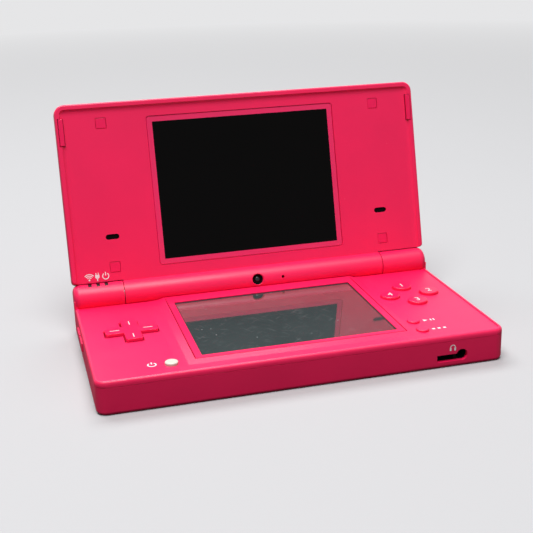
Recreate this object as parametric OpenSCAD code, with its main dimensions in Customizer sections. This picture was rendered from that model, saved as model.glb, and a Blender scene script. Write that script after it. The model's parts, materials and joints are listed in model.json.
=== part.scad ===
// Clamshell handheld game console: a base with the keys and the lower display, and a lid with the
// upper display that turns on barrels along the rear edge. Shown open, as it stands in use.
// Origin: centre of the base's footprint on its underside. X to the right, Y to the rear, Z up.

/* [Case] */
// Width of base and lid
body_w = 137; // [134:0.5:142]
// Depth of the base, from the front edge to the back of the hinge barrels
body_d = 74.9; // [74:0.1:78]
// Height of the base's rim above the table
base_h = 11.45; // [11.3:0.05:12.2]
// Corner radius of base and lid, seen from above
corner_r = 3.5; // [2.5:0.1:4.5]
// Rounding of the lower and outer edges
edge_r = 1.2; // [0.6:0.1:1.4]
// Height of the rounding along the base's upper outer edge
deck_edge_h = 1.35; // [0.8:0.05:1.6]
// Reach inward of the rounding along the base's upper outer edge
deck_edge_in = 0.9; // [0.6:0.05:0.9]
// Rounding of the edges of the lid's rim
rim_edge_r = 0.6; // [0.3:0.1:0.8]
// Thickness of the side walls
wall = 1.5; // [1.3:0.05:1.7]
// Thickness of the floor of the base
floor_t = 1.4; // [1.3:0.05:1.6]
// Height of the seam between the two base housings
seam_z = 9.35; // [9.2:0.05:9.5]
// Gap at the seams between housings
seam_gap = 0.12; // [0.06:0.02:0.2]
// Width of the raised rim round the deck
rim_w = 1.3; // [1:0.1:1.8]
// Depth of the deck under the rim
deck_drop = 0.3; // [0.2:0.05:0.4]
// Thickness of the deck
deck_t = 1.45; // [1.3:0.05:1.6]

/* [Hinge and lid] */
// Opening angle of the lid as shown, from closed
lid_angle = 104; // [90:1:150]
// Radius of the hinge barrels
barrel_r = 4.95; // [4.7:0.05:5.1]
// Half the length of the middle barrel
barrel_half = 50; // [46:0.5:52]
// Gap round the middle barrel
barrel_gap = 0.25; // [0.15:0.05:0.4]
// Gap at each end of the middle barrel
barrel_end_gap = 0.3; // [0.2:0.05:0.5]
// Rounding of the outer ends of the side barrels
barrel_end_r = 2.4; // [1:0.1:3]
// Gap between the rims of base and closed lid
closed_gap = 0.42; // [0.3:0.02:0.6]
// Depth of the lid from the hinge axis to its outer face
lid_back = 5; // [4.9:0.05:5.3]
// Distance from the hinge axis to the lid's inner face
lid_face = 1.1; // [1:0.05:1.2]
// Height of the lid's rim over its inner face
lid_rim_h = 0.78; // [0.6:0.02:0.9]
// Width of the lid's rim
lid_rim_w = 1.7; // [1.5:0.1:2.2]
// Width of the slope from the lid's rim down to its inner face
lid_slope_w = 2.2; // [1.6:0.1:2.4]
// Reach of the lid's outer cover down behind the side barrels
lid_lip = 0.7; // [0.3:0.05:0.75]
// Thickness of the lid's inner cover
lid_cover_t = 1.55; // [1.4:0.05:1.65]
// Thickness of the lid's outer skin
lid_skin = 1.2; // [1:0.05:1.3]
// Corner radius of the lid next to the hinge
lid_near_r = 1.4; // [1.3:0.1:2]
// Outer radius of the hinge tube and of the clutch
hinge_tube_r = 3; // [2.8:0.05:3.1]
// Inner radius of the hinge tube
hinge_tube_bore_r = 1.8; // [1.4:0.1:2.2]
// Radius of the clutch's shaft
clutch_shaft_r = 2; // [1.6:0.1:2.4]
// Running clearance of shafts and pins, on the radius
run_fit = 0.05; // [0.02:0.01:0.08]
// Clearance between pieces that are fixed to each other
seat_gap = 0.05; // [0.03:0.01:0.08]

/* [Displays] */
// Width of the visible lower panel
lower_window_w = 66.8; // [64:0.2:68]
// Height of the visible lower panel
lower_window_h = 49.57; // [47:0.1:51]
// Distance from the front edge to the middle of the lower panel
lower_window_in = 34.05; // [33.5:0.05:34.6]
// Height of the display frame over the deck
frame_rise = 0.95; // [0.8:0.05:1.05]
// Width of the display frame round the lower panel
frame_w = 2.45; // [2:0.05:2.8]
// Reach of the slopes beside the display frame
slope_w = 6; // [4:0.1:6.5]
// Depth of the lower panel under its frame
panel_drop = 0.4; // [0.3:0.05:0.5]
// Thickness of the touch panel
touch_t = 0.95; // [0.8:0.05:1.1]
// Thickness of the lower display
lower_display_t = 2.1; // [1.8:0.05:2.2]
// Overlap of the frame on the edge of the lower panel
panel_lap = 1; // [0.8:0.05:1.1]
// Width of the visible upper display
upper_window_w = 67.28; // [65:0.1:68]
// Height of the visible upper display
upper_window_h = 50.68; // [48:0.1:51]
// Distance from the hinge axis to the middle of the upper display
upper_window_v = 36.5; // [36:0.1:36.8]
// Width of the printed border round the upper display
lens_border = 2.03; // [1.6:0.05:2.2]
// Thickness of the upper lens
lens_t = 0.8; // [0.6:0.05:0.9]
// Depth of the upper lens under the lid's inner face
lens_drop = 0.2; // [0.1:0.05:0.25]
// Gap round the upper lens
lens_gap = 0.12; // [0.06:0.02:0.2]
// Corner radius of the upper lens
lens_r = 1; // [0.4:0.1:1.4]

/* [Keys] */
// Gap between a key and its hole
key_gap = 0.15; // [0.1:0.01:0.2]
// Thickness of the flange under a key
flange_t = 0.8; // [0.7:0.05:0.9]
// Distance from the left edge to the middle of the direction pad
dpad_in = 16.6; // [15.5:0.1:17]
// Distance from the front edge to the middle of the direction pad
dpad_y_in = 38.4; // [36:0.1:40]
// Length of the direction pad's arms, tip to tip
dpad_span = 17.8; // [16:0.1:18.5]
// Width of the direction pad's arms
dpad_arm_w = 5.6; // [5:0.1:6.2]
// Height of the direction pad over the deck
dpad_rise = 1.05; // [0.8:0.05:1.1]
// Gap between the direction pad and its hole
dpad_gap = 0.3; // [0.22:0.02:0.36]
// Tilt of the direction pad each way
dpad_tilt = 2; // [1:0.25:2]
// Distance from the right edge to the middle of the four face buttons
face_in = 17.5; // [16.5:0.1:18]
// Distance from the front edge to the middle of the four face buttons
face_y_in = 40.95; // [38:0.1:42]
// Distance of each face button from their middle
face_pitch = 7.6; // [7:0.1:7.8]
// Diameter of a face button
face_d = 7; // [6:0.1:7.2]
// Height of the face buttons over the deck
face_rise = 1.05; // [0.8:0.05:1.1]
// Travel of the face buttons
face_travel = 0.5; // [0.3:0.05:0.6]
// Diameter of the start, select and power buttons
small_d = 4.25; // [3.6:0.05:4.6]
// Travel of the start, select and power buttons
small_travel = 0.3; // [0.2:0.05:0.4]
// Distance from the right edge to the start and select buttons
small_in = 26.6; // [25.8:0.1:27]
// Distance from the front edge to the select button
select_y_in = 7.95; // [7.6:0.05:8.6]
// Distance between the start and select buttons
small_pitch = 7.95; // [7.6:0.05:9]
// Height of the start and select buttons over the deck
small_rise = 0.75; // [0.4:0.05:0.8]
// Distance from the left edge to the power button
power_in = 25; // [24:0.1:25.6]
// Distance from the front edge to the power button
power_y_in = 7.8; // [7.6:0.1:9]
// Height of the power button over the deck
power_rise = 0.85; // [0.6:0.05:1]
// Length of a volume key
volume_l = 7.2; // [6:0.1:8]
// Height of a volume key
volume_h = 3.2; // [2.6:0.1:3.3]
// Height of the volume keys above the table, at their middle
volume_z = 7.2; // [7:0.05:7.25]
// Distance from the front edge to the point between the volume keys
volume_y_in = 46.65; // [44:0.1:48]
// Wall between the two volume keys, with their gaps
volume_split = 0.9; // [0.7:0.05:1.2]
// Reach of the volume keys over the side
volume_rise = 0.5; // [0.3:0.05:0.6]
// Travel of the volume keys
volume_travel = 0.4; // [0.3:0.05:0.4]
// Length of a shoulder button along the rear edge
shoulder_l = 17.9; // [17:0.1:18]
// Depth of a shoulder button along the side
shoulder_d = 8.55; // [8:0.05:9]
// Height of a shoulder button
shoulder_h = 6.2; // [5.6:0.1:6.3]
// Inward turn of a shoulder button
shoulder_turn = 3; // [2:0.25:3]

/* [Ports and stylus] */
// Height of the game card slot
card_h = 4.4; // [4.2:0.05:4.5]
// Width of the game card slot
card_w = 33.6; // [33:0.1:34.2]
// Depth of the game card slot from the rear edge
card_depth = 32.5; // [30:0.5:32.5]
// Distance from the middle of the base to the middle of the game card slot
card_x = 27.5; // [27:0.1:28]
// Sheet thickness of the card sockets
sheet_t = 0.3; // [0.2:0.05:0.35]
// Gap under the game card socket
socket_gap = 0.4; // [0.3:0.05:0.6]
// Radius of the headphone plug's hole
jack_r = 1.8; // [1.75:0.01:1.85]
// Distance from the right edge to the headphone jack
jack_in = 15.72; // [15:0.1:16.4]
// Height of the headphone jack above the table
jack_z = 4.09; // [4:0.01:4.3]
// Length of the headphone jack
jack_l = 12; // [10:0.5:13]
// Width of the remote slot beside the headphone jack
remote_w = 8.9; // [8:0.1:9.2]
// Height of the remote slot beside the headphone jack
remote_h = 2.45; // [2.2:0.05:2.6]
// Radius of the stylus
stylus_r = 2.45; // [2.2:0.05:2.5]
// Length of the stylus
stylus_l = 74; // [70:0.5:74.5]
// Distance from the front edge to the stylus
stylus_y_in = 59.45; // [59.2:0.05:59.8]
// Wall of the stylus silo
silo_wall = 0.75; // [0.5:0.05:0.8]
// Length of the memory card slot's cover
sd_cover_l = 26; // [25:0.1:26.4]
// Height of the memory card slot's cover
sd_cover_h = 4.1; // [3.8:0.1:4.3]
// Distance from the front edge to the middle of the memory card slot
sd_y_in = 37.2; // [36.8:0.1:37.6]
// Radius of the memory card slot cover's pins
sd_pin_r = 0.45; // [0.4:0.01:0.48]

/* [Inside] */
// Thickness of the main board
board_t = 0.8; // [0.7:0.05:0.9]
// Width of the battery
battery_w = 43; // [40:0.5:44]
// Depth of the battery
battery_d = 36.5; // [34:0.5:37]
// Thickness of the battery
battery_t = 4.9; // [4.4:0.1:5.2]
// Thickness of the battery cover
cover_t = 0.9; // [0.8:0.05:0.95]
// Radius of the screws' shafts
screw_r = 0.75; // [0.65:0.05:0.8]
// Radius of the screws' heads
screw_head_r = 1.55; // [1.4:0.05:1.65]
// Radius of the screw bosses
boss_r = 2.3; // [2.1:0.05:2.4]
// Side of the square plugs over the lid's screws
plug_side = 3.75; // [3.4:0.05:4]

/* [Hidden] */
$fn = 48;

// Colours
pink = [0.90, 0.10, 0.33];
cream = [0.93, 0.92, 0.84];
black = [0.03, 0.03, 0.035];
glass_grey = [0.25, 0.30, 0.30];
steel = [0.72, 0.73, 0.75];
board_green = [0.06, 0.30, 0.20];
rubber_grey = [0.30, 0.30, 0.32];
clear_white = [0.82, 0.84, 0.86];

// Amount by which a cut runs past what it cuts
past = 1;
// Thickness of the slices that a rounded block is hulled from
slice = 0.01;

// Edges of the base
half_w = body_w / 2;
front_y = -body_d / 2;
rear_y = body_d / 2;

// Heights of the base
deck_z = base_h - deck_drop;
deck_under = deck_z - deck_t;
frame_z = deck_z + frame_rise;
panel_z = frame_z - panel_drop;
display_top = panel_z - touch_t - seat_gap;
display_z = display_top - lower_display_t;
lower_top = seam_z - seam_gap / 2;
upper_bottom = seam_z + seam_gap / 2;
board_z = floor_t + socket_gap + 2 * sheet_t + card_h;
board_top = board_z + board_t;

// Hinge axis, and the parts of the lid measured from it
hinge_y = rear_y - barrel_r;
hinge_z = base_h + closed_gap + lid_face + lid_rim_h;
trough_r = barrel_r + barrel_gap;
trough_wall = 1.1;
trough_half = barrel_half + barrel_end_gap;
trough_under = hinge_z - trough_r - trough_wall;
lid_near = trough_r;
lid_far = hinge_y - front_y;
lid_seam = lid_face - lid_cover_t;
lid_top = lid_face + lid_rim_h;
lid_inside = -lid_back + lid_skin;

// Places on the base
dpad_x = -half_w + dpad_in;
dpad_y = front_y + dpad_y_in;
face_x = half_w - face_in;
face_y = front_y + face_y_in;
face_hole_r = face_d / 2 + key_gap;
face_flange_r = face_d / 2 + 0.75;
small_x = half_w - small_in;
select_y = front_y + select_y_in;
start_y = select_y + small_pitch;
power_x = -half_w + power_in;
power_y = front_y + power_y_in;
small_flange_r = small_d / 2 + 0.9;
volume_y = front_y + volume_y_in;
volume_stem = 1.5;
volume_ys = volume_l / 2 * [-1, 1];
volume_zs = volume_h / 2 * [-1, 1];
volume_switch_x = -half_w + wall + volume_stem + volume_travel + 0.1;
window_y = front_y + lower_window_in;
window_ys = [window_y - lower_window_h / 2, window_y + lower_window_h / 2];
panel_xs = (lower_window_w / 2 + panel_lap) * [-1, 1];
panel_ys = [window_ys[0] - panel_lap, window_ys[1] + panel_lap];
pocket_gap = 0.2;
frame_half = lower_window_w / 2 + frame_w;
frame_front = window_ys[0] - frame_w + 0.35;
jack_x = half_w - jack_in;
socket_back_t = 1.2;
socket_z = [board_z - sheet_t - card_h, board_z - sheet_t];
card_xs = [-card_x - card_w / 2, -card_x + card_w / 2];
remote_z = [jack_z - 1.86, jack_z - 1.86 + remote_h];
stylus_y = front_y + stylus_y_in;
silo_r = stylus_r + 0.07;
stylus_z = floor_t + silo_r + silo_wall;
stylus_end = half_w - 0.15;
silo_end = stylus_end - stylus_l - 0.5;
sd_y = front_y + sd_y_in;
sd_axis_x = half_w - 0.75;
sd_axis_z = 3.35;
sd_cover_x = [half_w - 1.3, half_w - 0.2];
sd_hole_gap = 0.2;
sd_foot_gap = 0.3;
cam_pocket_v = 53;
cam_pocket_in = 8.5;
camera_light_v = 45.5;
inlet_x = 12;
strap_x = 42;

// Shoulder buttons and the pins that they turn on
shoulder_gap = 0.3;
shoulder_z = [lower_top - 0.25 - shoulder_h, lower_top - 0.25];
shoulder_inner_x = half_w - shoulder_l;
shoulder_front_y = rear_y - shoulder_d;
shoulder_way = 0.95;
shoulder_side_t = 1.9;
shoulder_rear_t = 2.85;
spring_r = 1.15;
spring_h = 1.2;
pin_x = max(shoulder_inner_x, trough_half + shoulder_gap) + 2.6;
switch_board_x = half_w - 8.5;
pin_y = rear_y - 1.85;
pin_r = 0.75;
pin_seat = 0.03;
pin_z = [0.85, deck_under + 0.8];

// Key stack under the deck
key_lift = 0.1;
flange_top = deck_under - key_lift;
flange_z = flange_top - flange_t;
key_slack = 0.1;

// Direction pad: its flange hangs lower, so that it can tilt
dpad_flange_r = 9.6;
dpad_flange_t = 0.6;
dpad_full_tilt = sqrt(2) * dpad_tilt;
dpad_sink = dpad_flange_r * sin(dpad_full_tilt) + 0.05;
dpad_flange_top = deck_under - dpad_sink;
dpad_flange_z = dpad_flange_top - dpad_flange_t;
dpad_dome_r = 1.6;
dpad_dome_at = 6.2;
dpad_dome_top = dpad_flange_z - (dpad_dome_at + dpad_dome_r) * sin(dpad_full_tilt) - key_slack;
pivot_t = 0.3;
pivot_r = 2.5;
pivot_gap = 0.1;
pivot_top = dpad_flange_z - pivot_gap;
pivot_z = pivot_top - pivot_t;

// Places of the case screws
case_screw_at = [
    [-half_w + 5, front_y + 5],
    [half_w - 5, front_y + 5],
    [-half_w + 5, rear_y - 13],
    [half_w - 6.5, front_y + 53.8],
    [31, front_y + 5],
    [-29, front_y + 5]
];
screw_head_t = 0.7;
screw_recess = 0.45;
hole_gap = 0.15;
cover_head_t = 0.7;
boss_seat_r = boss_r + 0.7;

// Battery bay, with the two screws of its cover beside the battery
battery_x = 4;
battery_y = front_y + 3.9 + battery_d / 2;
bay_gap = 0.6;
bay_x = [battery_x - battery_w / 2 - bay_gap, battery_x + battery_w / 2 + bay_gap];
bay_y = [battery_y - battery_d / 2 - bay_gap, battery_y + battery_d / 2 + bay_gap];
cover_x = [bay_x[0] - 6.4, bay_x[1] + 1];
cover_y = [bay_y[0] - 1, bay_y[1] + 1];
cover_gap = 0.15;
cover_screw_x = bay_x[0] - 3.4;
cover_screw_at = [[cover_screw_x, bay_y[0] + 4], [cover_screw_x, bay_y[1] - 4]];
cover_screw_l = 4.2;

// Upper display and the cover over it
upper_us = upper_window_w / 2 * [-1, 1];
upper_vs = [upper_window_v - upper_window_h / 2, upper_window_v + upper_window_h / 2];
lens_us = (upper_window_w / 2 + lens_border) * [-1, 1];
lens_vs = [upper_vs[0] - lens_border, upper_vs[1] + lens_border];
lens_front = lid_face - lens_drop;
lens_back = lens_front - lens_t - seat_gap;

// Lid screws under their plugs, the speakers and the hinge pieces
plug_u = half_w - 16.24;
plug_v = [10.16, lid_far - 7.38];
plug_t = 0.8;
plug_gap = 0.1;
plug_sides = plug_side / 2 * [-1, 1];
lid_boss_r = 2.4;
speaker_u = half_w - 16.33;
speaker_v = 21.28;
bumper_v = [lid_far - 14.65, lid_far - 5.05];
bumper_w = 1.7;
bumper_rise = 0.25;
bumper_u = half_w - lid_rim_w - 0.2;
bumper_gap = 0.2;
light_x = [for (k = [0:2]) -half_w + (half_w - trough_half) * (0.345 + 0.165 * k)];
tube_reach = 6;
clutch_reach = 5.7;
cable_r = 0.8;
cable_drop_x = -trough_half - 0.7 * (switch_board_x - trough_half);
mic_u = 9.8;
// Top of the inner camera's ring, where its rim lies flush in the barrel
camera_ring_r = 2.25;
camera_ring_t = 0.6;
camera_ring_z = sqrt(pow(barrel_r, 2) - pow(camera_ring_r, 2)) - camera_ring_t;
ribbon_u = [-24, -12];
ribbon_w = -1.5;

// ---- Shared shapes ----

module rounded_rect(w, d, r) {
    if (r <= 0) {
        square([w, d], center = true);
    } else {
        square([w - 2 * r, d], center = true);
        square([w, d - 2 * r], center = true);
        for (sx = [-1, 1], sy = [-1, 1])
            translate([sx * (w / 2 - r), sy * (d / 2 - r)]) circle(r);
    }
}

// Box between two bounds on each axis, its upright edges rounded by r
module span(x, y, z, r = 0) {
    translate([(x[0] + x[1]) / 2, (y[0] + y[1]) / 2, z[0]])
        linear_extrude(z[1] - z[0]) rounded_rect(x[1] - x[0], y[1] - y[0], r);
}

// Bounds widened by g at both ends
function wider(b, g) = [b[0] - g, b[1] + g];

// Outline that starts at y = 0, with one radius at its near corners and one at its far corners
module two_radius_rect(w, d, near_r, far_r) {
    translate([-w / 2, near_r]) square([w, d - near_r - far_r]);
    translate([-w / 2 + near_r, 0]) square([w - 2 * near_r, d / 2]);
    translate([-w / 2 + far_r, d / 2]) square([w - 2 * far_r, d / 2]);
    for (s = [-1, 1]) {
        translate([s * (w / 2 - near_r), near_r]) circle(near_r);
        translate([s * (w / 2 - far_r), d - far_r]) circle(far_r);
    }
}

// Insets and heights of the slices of a block h high, rounded by low at its bottom and high at its top,
// where the upper rounding reaches high_in inward
function round_slices(h, low, high, high_in) = concat(
    [for (a = [0:30:90]) [low * (1 - sin(a)), low * (1 - cos(a))]],
    [for (a = [0:30:90]) [high_in * (1 - cos(a)), h - high * (1 - sin(a))]]
);

// Block that starts at y = 0, z = 0, with its bottom and top edges rounded
module soft_block(w, d, h, near_r, far_r, low = 0, high = 0, high_in = 0) {
    hull()
        for (s = round_slices(h, low, high, high_in))
            translate([0, s[0], min(s[1], h - slice)])
                linear_extrude(slice)
                    two_radius_rect(w - 2 * s[0], d - 2 * s[0], near_r - s[0], far_r - s[0], $fn = 32);
}

// Disc with its top edge rounded by e
module soft_disc(r, h, e) {
    rotate_extrude() {
        square([r - e, h]);
        square([r, h - e]);
        translate([r - e, h - e]) intersection() {
            circle(e);
            square(e);
        }
    }
}

module at_each(places) {
    for (p = places) translate([p[0], p[1], 0]) children();
}

module both_sides() {
    children();
    mirror([1, 0, 0]) children();
}

// Cylinder along +X from x0 to x1
module rod_x(r, x0, x1) {
    translate([x0, 0, 0]) rotate([0, 90, 0]) cylinder(r = r, h = x1 - x0);
}

// Puts the lid's own frame in place: x to the right, y from the hinge axis to the far edge,
// z out of the lid's inner face
module in_lid() {
    translate([0, hinge_y, hinge_z]) rotate([180 - lid_angle, 0, 0]) children();
}

module on_hinge_axis() {
    translate([0, hinge_y, hinge_z]) children();
}

// ---- Keys ----

module round_key(d, top_z, flange_r) {
    translate([0, 0, flange_z]) cylinder(r = flange_r, h = flange_t);
    translate([0, 0, flange_z]) soft_disc(d / 2, top_z - flange_z, 0.35);
}

// Rubber dome that a key of the given travel is pressed onto
module rubber_dome(r, travel) {
    translate([0, 0, board_top + seat_gap])
        cylinder(r = r, h = flange_z - travel - key_slack - board_top - seat_gap);
}

module rubber_sheet(r) {
    translate([0, 0, board_top + seat_gap]) cylinder(r = r, h = 0.3);
}

module face_at(k) {
    a = 90 * k;
    translate([face_x + face_pitch * cos(a), face_y + face_pitch * sin(a), 0]) children();
}

module face_button(k) {
    color(pink) face_at(k) round_key(face_d, deck_z + face_rise, face_flange_r);
}

module face_button_right() { face_button(0); }
module face_button_rear() { face_button(1); }
module face_button_left() { face_button(2); }
module face_button_front() { face_button(3); }

module small_button(x, y, rise) {
    translate([x, y, 0]) round_key(small_d, deck_z + rise, small_flange_r);
}

module start_button() { color(pink) small_button(small_x, start_y, small_rise); }
module select_button() { color(pink) small_button(small_x, select_y, small_rise); }
module power_button() { color(cream) small_button(power_x, power_y, power_rise); }

module face_keypad() {
    color(rubber_grey) {
        for (k = [0:3]) face_at(k) {
            rubber_dome(2.6, face_travel);
            rubber_sheet(3.8);
        }
        translate([face_x, face_y, 0]) rubber_sheet(face_pitch - 1.5);
    }
}

module small_keypads() {
    color(rubber_grey)
        at_each([[small_x, start_y], [small_x, select_y], [power_x, power_y]]) {
            rubber_dome(1.6, small_travel);
            rubber_sheet(small_flange_r);
        }
}

module dpad_cross(gap, r) {
    rounded_rect(dpad_span + 2 * gap, dpad_arm_w + 2 * gap, r + gap);
    rounded_rect(dpad_arm_w + 2 * gap, dpad_span + 2 * gap, r + gap);
}

module dpad() {
    groove = [0.35, 3.2, 0.15];
    color(pink) translate([dpad_x, dpad_y, 0]) difference() {
        union() {
            translate([0, 0, dpad_flange_z]) cylinder(r = dpad_flange_r, h = dpad_flange_t);
            translate([0, 0, dpad_flange_z])
                linear_extrude(deck_z + dpad_rise - dpad_flange_z) dpad_cross(0, 0.7);
        }
        for (a = [0:90:270])
            rotate(a) translate([-groove[0] / 2, dpad_span / 2 - 1.6 - groove[1], 0])
                translate([0, 0, deck_z + dpad_rise - groove[2]]) cube([groove[0], groove[1], past]);
    }
}

module dpad_pivot() {
    color(rubber_grey) translate([dpad_x, dpad_y, pivot_z]) cylinder(r = pivot_r, h = pivot_t);
}

module dpad_keypad() {
    color(rubber_grey) translate([dpad_x, dpad_y, 0]) {
        rubber_sheet(8.2);
        translate([0, 0, board_top + seat_gap])
            cylinder(r = 1.2, h = pivot_z - pivot_gap - board_top - seat_gap);
        for (a = [0:90:270])
            rotate(a) translate([dpad_dome_at, 0, board_top + seat_gap])
                cylinder(r = dpad_dome_r, h = dpad_dome_top - board_top - seat_gap);
    }
}

// Middle of a volume key, s = 1 for the rear one and -1 for the front one
function volume_key_y(s) = volume_y + s * (volume_l + volume_split) / 2;

// One volume key. It slides along X through the left wall, and a flange inside keeps it in.
module volume_key(s) {
    inner = -half_w + wall;
    color(pink) translate([0, volume_key_y(s), volume_z]) {
        span([-half_w - volume_rise, inner + key_lift + 0.1], volume_ys, volume_zs);
        span([inner + key_lift, inner + key_lift + 0.7], wider(volume_ys, 0.3), wider(volume_zs, 0.4));
        span([inner + 0.5, inner + volume_stem], [-1, 1], [-0.8, 0.8]);
    }
}

module volume_up_key() { volume_key(1); }
module volume_down_key() { volume_key(-1); }

// Small upright board behind the volume keys, with two push switches
module volume_switch_board() {
    color(board_green) {
        span([volume_switch_x + 1, volume_switch_x + 1.7], [volume_y - volume_l, volume_y + volume_l],
            [floor_t + seat_gap, deck_under - 0.3]);
        for (s = [-1, 1]) translate([volume_switch_x, volume_key_y(s), volume_z]) {
            span([0.3, 1.1], [-1.9, 1.9], [-1.4, 1.4]);
            span([0, 0.4], [-0.7, 0.7], [-0.6, 0.6]);
        }
    }
}

// ---- Shoulder buttons ----

// The right one; the left one mirrors it
module shoulder_button() {
    color(pink) difference() {
        union() {
            difference() {
                intersection() {
                    linear_extrude(base_h) base_outline(0);
                    span([shoulder_inner_x, half_w], [shoulder_front_y, rear_y], shoulder_z);
                }
                span([0, half_w - shoulder_side_t], [0, rear_y - shoulder_rear_t], [0, base_h]);
            }
            translate([pin_x, pin_y, shoulder_z[0]]) cylinder(r = 1.7, h = shoulder_h);
        }
        translate([pin_x, pin_y, 0]) cylinder(r = pin_r + run_fit, h = base_h);
        // Pocket for the return spring at the top of the pin
        translate([pin_x, pin_y, shoulder_z[1] - spring_h - 0.2]) cylinder(r = spring_r + 0.1, h = base_h);
    }
}

module shoulder_button_right() { shoulder_button(); }
module shoulder_button_left() { mirror([1, 0, 0]) shoulder_button(); }

// Room in the housings, up to z1
module shoulder_room(z1) {
    both_sides() span([shoulder_inner_x - shoulder_gap, half_w + past],
        [shoulder_front_y - shoulder_way, rear_y + past], [shoulder_z[0] - shoulder_gap, z1]);
}

module shoulder_pins() {
    color(steel) both_sides()
        translate([pin_x, pin_y, pin_z[0]]) cylinder(r = pin_r, h = pin_z[1] - pin_z[0]);
}

module shoulder_springs() {
    color(steel) both_sides() translate([pin_x, pin_y, shoulder_z[1] - spring_h - 0.1]) difference() {
        cylinder(r = spring_r, h = spring_h);
        translate([0, 0, -past]) cylinder(r = pin_r + pin_seat, h = spring_h + 2 * past);
    }
}

module shoulder_switch_boards() {
    x0 = switch_board_x + 1.5;
    y1 = rear_y - shoulder_rear_t - 0.75;
    z0 = (shoulder_z[0] + shoulder_z[1]) / 2;
    color(board_green) both_sides() {
        span([x0 - 1.5, x0 + 3.5], [y1 - 2.9, y1 - 2.1], [floor_t + seat_gap, shoulder_z[1]]);
        span([x0 - 1, x0 + 3], [y1 - 2.2, y1 - 0.5], [z0 - 1.5, z0 + 1.5]);
        span([x0 + 0.3, x0 + 1.7], [y1 - 0.6, y1], [z0 - 0.7, z0 + 0.7]);
    }
}

// ---- Base housings ----

module base_outline(inset) {
    translate([0, front_y + inset])
        two_radius_rect(body_w - 2 * inset, body_d - 2 * inset, corner_r - inset, corner_r - inset);
}

module case_bosses() {
    at_each(case_screw_at) {
        cylinder(r = boss_seat_r, h = board_z - seat_gap);
        cylinder(r = boss_r, h = board_top + seat_gap);
    }
    at_each(cover_screw_at) cylinder(r = boss_r, h = cover_screw_l + 0.8);
}

// Hole for a screw from below: its head's recess up to head_top, then its shaft
module screw_cut(head_top, l, gap) {
    translate([0, 0, -past]) cylinder(r = screw_head_r + hole_gap, h = head_top + past);
    cylinder(r = screw_r + gap, h = l);
}

// Screw with its slotted head down at z
module screw(z, head_t, l) {
    translate([0, 0, z]) difference() {
        union() {
            cylinder(r = screw_head_r, h = head_t - seat_gap);
            cylinder(r = screw_r, h = l);
        }
        for (a = [0, 90]) rotate(a) translate([-0.15, -0.9, -past]) cube([0.3, 1.8, past + 0.3]);
    }
}

module port_cuts() {
    // Game card slot, power inlet and strap hole in the rear wall
    span(card_xs, [rear_y - wall - past, rear_y + past], socket_z);
    span([inlet_x - 3.6, inlet_x + 3.6], [rear_y - wall - past, rear_y + past], [2.6, 5.4]);
    difference() {
        span([strap_x - 2, strap_x + 2], [rear_y - wall - past, rear_y + past], [2.8, 5.2]);
        translate([strap_x, rear_y - 0.8, 0]) cylinder(r = 0.6, h = lower_top);
    }
    // Headphone hole and remote slot in the front wall
    translate([jack_x, front_y - past, jack_z]) rotate([-90, 0, 0])
        cylinder(r = jack_r + 0.2, h = wall + 2 * past);
    span([jack_x - remote_w, jack_x], [front_y - past, front_y + wall + past], remote_z);
    // Volume keys in the left wall
    for (s = [-1, 1]) translate([0, volume_key_y(s), volume_z])
        span([-half_w - past, -half_w + wall + past], wider(volume_ys, key_gap), wider(volume_zs, key_gap));
    // Stylus silo and memory card slot in the right wall
    translate([0, stylus_y, stylus_z]) rod_x(silo_r, silo_end, half_w + past);
    span([half_w - wall - past, half_w + past],
        [sd_y - sd_cover_l / 2 - sd_hole_gap, sd_y + sd_cover_l / 2 + sd_hole_gap],
        [sd_axis_z - sd_pin_r - sd_foot_gap, sd_axis_z - sd_pin_r + sd_cover_h]);
    sd_pin_axis() cylinder(r = sd_pin_r + run_fit, h = sd_cover_l + 2.2, center = true);
}

module lower_housing() {
    color(pink) difference() {
        union() {
            difference() {
                translate([0, front_y, 0]) soft_block(body_w, body_d, lower_top, corner_r, corner_r, edge_r);
                translate([0, 0, floor_t]) linear_extrude(base_h) base_outline(wall);
            }
            case_bosses();
            // Stylus silo
            translate([0, stylus_y, stylus_z]) rod_x(silo_r + silo_wall, silo_end - 1, half_w - wall / 2);
            // Seats of the shoulder buttons' pins
            both_sides() translate([pin_x, pin_y, 0]) cylinder(r = 1.6, h = shoulder_z[0] - 0.1);
            // Inner ears that carry the memory card cover's pins
            for (s = [-1, 1]) {
                y0 = sd_y + s * (sd_cover_l / 2 + sd_hole_gap + 0.7);
                span([half_w - wall - 0.5, half_w - wall / 2], [y0 - 0.7, y0 + 0.7],
                    [floor_t / 2, sd_axis_z + 1.2]);
            }
        }
        // Way for the hinge trough and for the rear corners
        span([-trough_half, trough_half], [rear_y - wall - past, rear_y + past],
            [trough_under - seam_gap, base_h]);
        shoulder_room(base_h);
        port_cuts();
        // Battery bay and the seat of its cover
        span(bay_x, bay_y, [-past, floor_t + past]);
        span(wider(cover_x, cover_gap), wider(cover_y, cover_gap), [-past, cover_t + seat_gap], 1.5);
        at_each(case_screw_at) screw_cut(screw_recess + screw_head_t, board_top + past, seat_gap);
        at_each(cover_screw_at) cylinder(r = screw_r + seat_gap, h = cover_screw_l + 0.3);
        both_sides()
            translate([pin_x, pin_y, pin_z[0] - seat_gap]) cylinder(r = pin_r + pin_seat, h = base_h);
    }
}

// Slice of the slope round the display frame, f = 0 at its foot and 1 at the frame's edge
module frame_slice(f, z) {
    x = frame_half + slope_w * (1 - f);
    y = frame_front * f + (front_y + rim_w) * (1 - f);
    translate([0, 0, z]) linear_extrude(slice) translate([-x, y]) square([2 * x, hinge_y - y]);
}

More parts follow.
